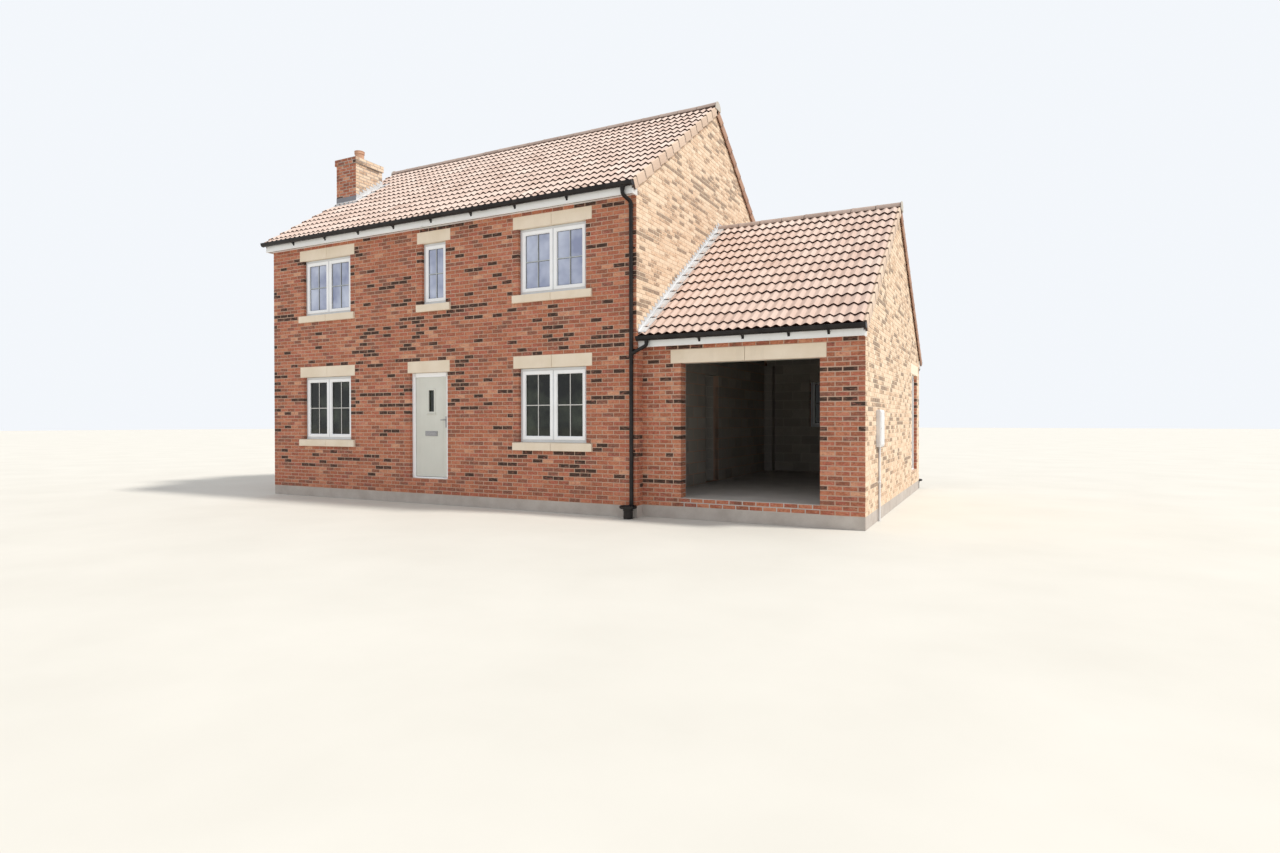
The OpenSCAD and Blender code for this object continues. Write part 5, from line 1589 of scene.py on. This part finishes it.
def dressed_foot(roof, x0, x1, y0, y1, back=False):
    """Lead dressed over the tiles, stepping down with each course."""
    line = []
    stations = sorted({y0, y1, *(-foot for foot in roof.feet if y0 < -foot < y1)})
    for a, b in zip(stations, stations[1:]):
        row_foot = max(-foot for foot in roof.feet if -foot <= a + 1e-6)
        line += [(y, roof.z(y) + 0.036 - 0.018 * (y - row_foot) / TILE_RUN) for y in (a, b)]
    return along_x(roof.turned(line + [(y, z - 0.010) for y, z in reversed(line)], back), x0, x1)


def fold(roof, x, y0, y1, back=False):
    """Rounded fold where an upstand turns on to the tiles."""
    return tube([(x, *place) for place in roof.turned([(y, roof.z(y) + 0.034) for y in (y0, y1)], back)],
                0.009, sides=3)


def lead_work(bright, painted_shade_lead):
    x = HALF_W + 0.002
    parts = []
    for y0, back in ((-HALF_D - GARAGE_MID + 0.004, False), (-(HALF_D - GARAGE_MID), True)):
        y0 = max(-HALF_D - OVERHANG + 0.02, y0)
        parts += [stepped_lead(GARAGE, x, y0, -0.02, back),
                  dressed_foot(GARAGE, x, HALF_W + 0.150, y0, -0.095, back),
                  fold(GARAGE, x + 0.010, y0, -0.06, back)]
    left, right = CHIMNEY_X[0] + 0.055, CHIMNEY_X[1]
    y0, y1 = CHIMNEY_Y
    front_z, back_z = MAIN.z(y0), MAIN.z(y1)
    parts += [stepped_lead(MAIN, right + 0.002, y0 - 0.006, y1 + 0.006, up=0.185),
              dressed_foot(MAIN, right, right + 0.150, y0 - 0.150, y1 + 0.150),
              fold(MAIN, right + 0.012, y0 - 0.01, y1 + 0.01),
              dressed_foot(MAIN, left, right + 0.002, y0 - 0.150, y0 + 0.01),
              dressed_foot(MAIN, left, right + 0.002, y1 - 0.01, y1 + 0.150),
              block((left, y1 + 0.002, back_z), (right + 0.008, y1 + 0.010, back_z + 0.150), 0.002),
              tube([(end, y0 - 0.012, front_z + 0.024) for end in (left - 0.04, right + 0.012)], 0.009,
                   sides=3)]
    # painted shade: the front apron takes a darker copy of the lead
    apron = block((CHIMNEY_X[0] - 0.002, y0 - 0.010, front_z + 0.005),
                  (right + 0.008, y0 - 0.002, front_z + 0.150), 0.002)
    finished("apron", [apron], painted_shade_lead, "lead")
    finished("lead_work", parts, bright, "lead", ("lead_flashings",))


# Chimney top, eaves and meter

def chimney_top(clay, bedding):
    middle = (sum(CHIMNEY_X) / 2, sum(CHIMNEY_Y) / 2, CHIMNEY_TOP)
    outline = [(0.120, 0.0), (0.120, 0.040), (0.112, 0.053), (0.106, 0.210), (0.110, 0.222), (0.120, 0.232),
               (0.122, 0.248), (0.118, 0.258), (0.118, 0.274), (0.124, 0.286), (0.122, 0.300), (0.104, 0.300),
               (0.098, 0.288), (0.090, 0.250), (0.084, 0.053), (0.098, 0.0)]
    finished("chimney_pot_turned", [spun(outline, middle, 40)], clay, "clay", ("chimney_pot",))
    slope = spun([(0.112, 0.0), (0.355, 0.0), (0.340, 0.010), (0.250, 0.022), (0.160, 0.044), (0.124, 0.056),
                  (0.112, 0.056)])
    slope.scale = (0.92, 1.0, 1.0)
    finished("flaunching", [settle(slope, 0, middle)], bedding, "concrete")


def eaves_details(white, dark):
    """Joints of the fascia lengths, the soffit vent and the trims of the box ends."""
    strips, vents = [], []
    for roof in (MAIN, GARAGE):
        x0, x1, soffit = roof.x0, roof.x1, roof.soffit
        low, high = soffit - 0.018, roof.z(HALF_D + FASCIA) - TILE_V - 0.004
        for side in (-1, 1):
            face = roof.mid + side * (HALF_D + FASCIA)
            y0, y1 = sorted((face + side * 0.003, face - side * 0.004))
            strips.append(block((x0, y0, low - 0.002), (x1, y1, low + 0.014), 0.002))
            count = round((x1 - x0) / 4.6)
            for i in range(1, count):
                x = x0 + (x1 - x0) * i / count
                strips.append(block((x - 0.022, y0, low), (x + 0.022, y1, high), 0.0015))
            vent = roof.mid + side * (HALF_D + FASCIA / 2)
            vents.append(block((x0 + 0.02, vent - 0.009, soffit - 0.001),
                               (x1 - 0.02, vent + 0.009, soffit + 0.004)))
    finished("fascia_trims", strips, white, "white_board")
    finished("soffit_vents", vents, dark, "black_plastic")


def meter(white, metal):
    """Meter cupboard on the garage side: raised door, hinges, lock and the conduit below it."""
    y0, y1 = GARAGE_FRONT + 0.975, GARAGE_FRONT + 1.385
    z0, z1 = BASE + 1.010, BASE + 1.610
    x, middle, half = GARAGE_RIGHT, (y0 + y1) / 2, (y1 - y0) / 2
    trim = ring((-half + 0.045, z0 + 0.045), (half - 0.045, z1 - 0.045), 0.012, -0.002, 0.002, 0.0015)
    # white here is the darker copy of the plastic, painted as shade
    box = [block((x + 0.001, y0, z0), (x + 0.066, y1, z1), 0.006, 2),
           block((x + 0.060, y0 + 0.024, z0 + 0.024), (x + 0.078, y1 - 0.024, z1 - 0.024), 0.005, 2),
           settle(trim, QUARTER, (x + 0.078, middle, 0))]
    for z in (z0 + 0.12, z1 - 0.16):
        box.append(block((x + 0.058, y1 - 0.026, z), (x + 0.079, y1 - 0.014, z + 0.05), 0.002))
    finished("meter_cupboard", box, white, "white_board", ("meter_box",))
    lock = spun([(0.0005, 0), (0.011, 0), (0.012, 0.001), (0.012, 0.0085), (0.0005, 0.0085)],
                (x + 0.0715, y0 + 0.050, (z0 + z1) / 2), 20, (0, QUARTER))
    pipe = tube([(x + 0.025, middle, 0.0), (x + 0.025, middle, z0 + 0.01)], 0.019, sides=5)
    saddle = block((x + 0.001, middle - 0.036, 0.62), (x + 0.047, middle + 0.036, 0.645), 0.006, 2)
    finished("meter_conduit", [pipe, saddle], white, "white_board")
    finished("meter_lock", [lock], metal, "bright_metal")


# Stage

def pale_floor():
    put_down()
    bpy.ops.mesh.primitive_circle_add(vertices=96, radius=160, fill_type="NGON")
    floor = settle(bpy.context.object, 0, (0, 0, -0.002))
    floor.name = "floor"
    floor.data.materials.append(floor_finish())


def studio_light():
    """Even pale light from all round, a backdrop for camera and panes, and a soft lamp from the right."""
    world = bpy.data.worlds.new("studio")
    bpy.context.scene.world = world
    world.use_nodes = True
    tree = world.node_tree
    tree.nodes.clear()
    node, link = tree.nodes.new, tree.links.new
    rays, out, both = node("ShaderNodeLightPath"), node("ShaderNodeOutputWorld"), node("ShaderNodeMixShader")
    seen = rays.outputs["Is Camera Ray"]
    for kind in ("Is Glossy Ray", "Is Transmission Ray"):
        either = node("ShaderNodeMath")
        either.operation = "MAXIMUM"
        link(seen, either.inputs[0])
        link(rays.outputs[kind], either.inputs[1])
        seen = either.outputs[0]
    link(seen, both.inputs[0])
    for socket, colour, strength in ((1, (0.93, 0.96, 1.0, 1), 0.80), (2, (0.90, 0.93, 0.97, 1), 1.0)):
        light = node("ShaderNodeBackground")
        light.inputs["Color"].default_value = colour
        light.inputs["Strength"].default_value = strength
        link(light.outputs[0], both.inputs[socket])
    link(both.outputs[0], out.inputs["Surface"])
    lamp = bpy.data.lights.new("key", "SUN")
    lamp.energy = 2.9
    lamp.angle = math.radians(7)
    lamp.color = (1.0, 0.955, 0.89)
    key = placed("key", lamp)
    key.rotation_mode = "QUATERNION"
    key.rotation_quaternion = Vector((0.58, 0.10, 0.80)).to_track_quat("Z", "Y")


def camera():
    data = bpy.data.cameras.new("camera")
    data.sensor_width = 36.0
    data.lens = 718.2 / 1280 * 36.0
    data.clip_start, data.clip_end = 0.1, 500
    eye = placed("camera", data)
    yaw, pitch, roll = math.radians(26.905), math.radians(-0.4525), math.radians(-0.089)
    ahead = Vector((-math.sin(yaw) * math.cos(pitch), math.cos(yaw) * math.cos(pitch), math.sin(pitch)))
    level = Vector((math.cos(yaw), math.sin(yaw), 0))
    up = level.cross(ahead)
    right = math.cos(roll) * level + math.sin(roll) * up
    top = -math.sin(roll) * level + math.cos(roll) * up
    turn = Matrix((right, top, -ahead)).transposed().to_4x4()
    eye.matrix_world = Matrix.Translation((10.132, -14.472, 1.637)) @ turn
    bpy.context.scene.camera = eye


# The house

def dressed_nodes(boards):
    """Finishes of the CAD nodes that show as they are."""
    dress(concrete_finish("grey_foundation_concrete", (0.44, 0.385, 0.345), (0.57, 0.52, 0.475)),
          "foundation")
    dress(concrete_finish("floated_floor_concrete", (0.50, 0.455, 0.415), (0.63, 0.585, 0.54), 1.6),
          "ground_floor", "garage_floor")
    dress(deck_finish(), "first_floor")
    leaf = 0.120
    dress(wall_core_finish("house_wall_core", HALF_W - leaf, HALF_D - leaf),
          "front_wall_left", "front_wall_centre", "front_wall_right", "back_wall", "left_gable_wall",
          "right_gable_wall", "chimney_stack")
    dress(wall_core_finish("garage_wall_core", (GARAGE_W - leaf) / 2, HALF_D - leaf,
                           (HALF_W + GARAGE_RIGHT - leaf) / 2, GARAGE_MID),
          "garage_piers", "garage_front_head", "garage_side_wall", "garage_gable", "garage_back_wall")
    dress(boards, "eaves_boards")


def build():
    bpy.context.scene.view_settings.view_transform = "Standard"
    camera()
    pale_floor()
    studio_light()
    white = frame_plastic_finish("white_casement_plastic", (0.96, 0.965, 0.98))
    # painted shade: the outer frames take a greyer copy of the white plastic, as the shade of the reveals
    painted_shade_frame_white = frame_plastic_finish("white_frame_plastic_painted_shade", (0.69, 0.71, 0.735))
    # painted shade: a darker copy of the white plastic for the side door and meter cupboard, which face the
    # sun
    painted_shade_white = frame_plastic_finish("white_plastic_painted_shade", (0.76, 0.755, 0.76))
    boards, metal, black = board_finish(), bright_metal_finish(), black_plastic_finish()
    joint = dark_joint_finish()
    dressed_nodes(boards)
    stonework(cast_stone_finish())
    windows((painted_shade_frame_white, white, bar_finish()), seal_finish(), glazing_finish())
    front_door(door_paint_finish(), white, metal)
    side_door(painted_shade_white, metal)
    lead_work(lead_finish("dressed_lead", (0.52, 0.53, 0.545), (0.74, 0.745, 0.75)),
              lead_finish("lead_painted_shade", (0.185, 0.18, 0.20), (0.27, 0.265, 0.29)))
    chimney_top(clay_finish(), bedding_finish())
    eaves_details(boards, seal_finish())
    meter(painted_shade_white, metal)
    gutters(black)
    downpipes(black)
    ridges(ridge_tile_finish(), joint, ridge_cap_finish())
    verges(verge_finish("pale_verge_unit", (0.60, 0.45, 0.345), (0.69, 0.54, 0.42)),
           verge_finish("verge_unit_painted_shade", (0.34, 0.19, 0.135), (0.44, 0.27, 0.19)), joint)
    tile_parts = roof_tile_finish(), tile_nose_finish(), underlay_finish()
    tiled_roof("main", MAIN, *tile_parts, in_chimney)
    tiled_roof("garage", GARAGE, *tile_parts)
    garage_blocks(concrete_block_finish())
    shape, brick = brick_shape(), brick_finish()
    house_bricks(shape, brick)
    garage_bricks(shape, brick)
    chimney_bricks(shape, brick)
    thrown_away(shape)


build()
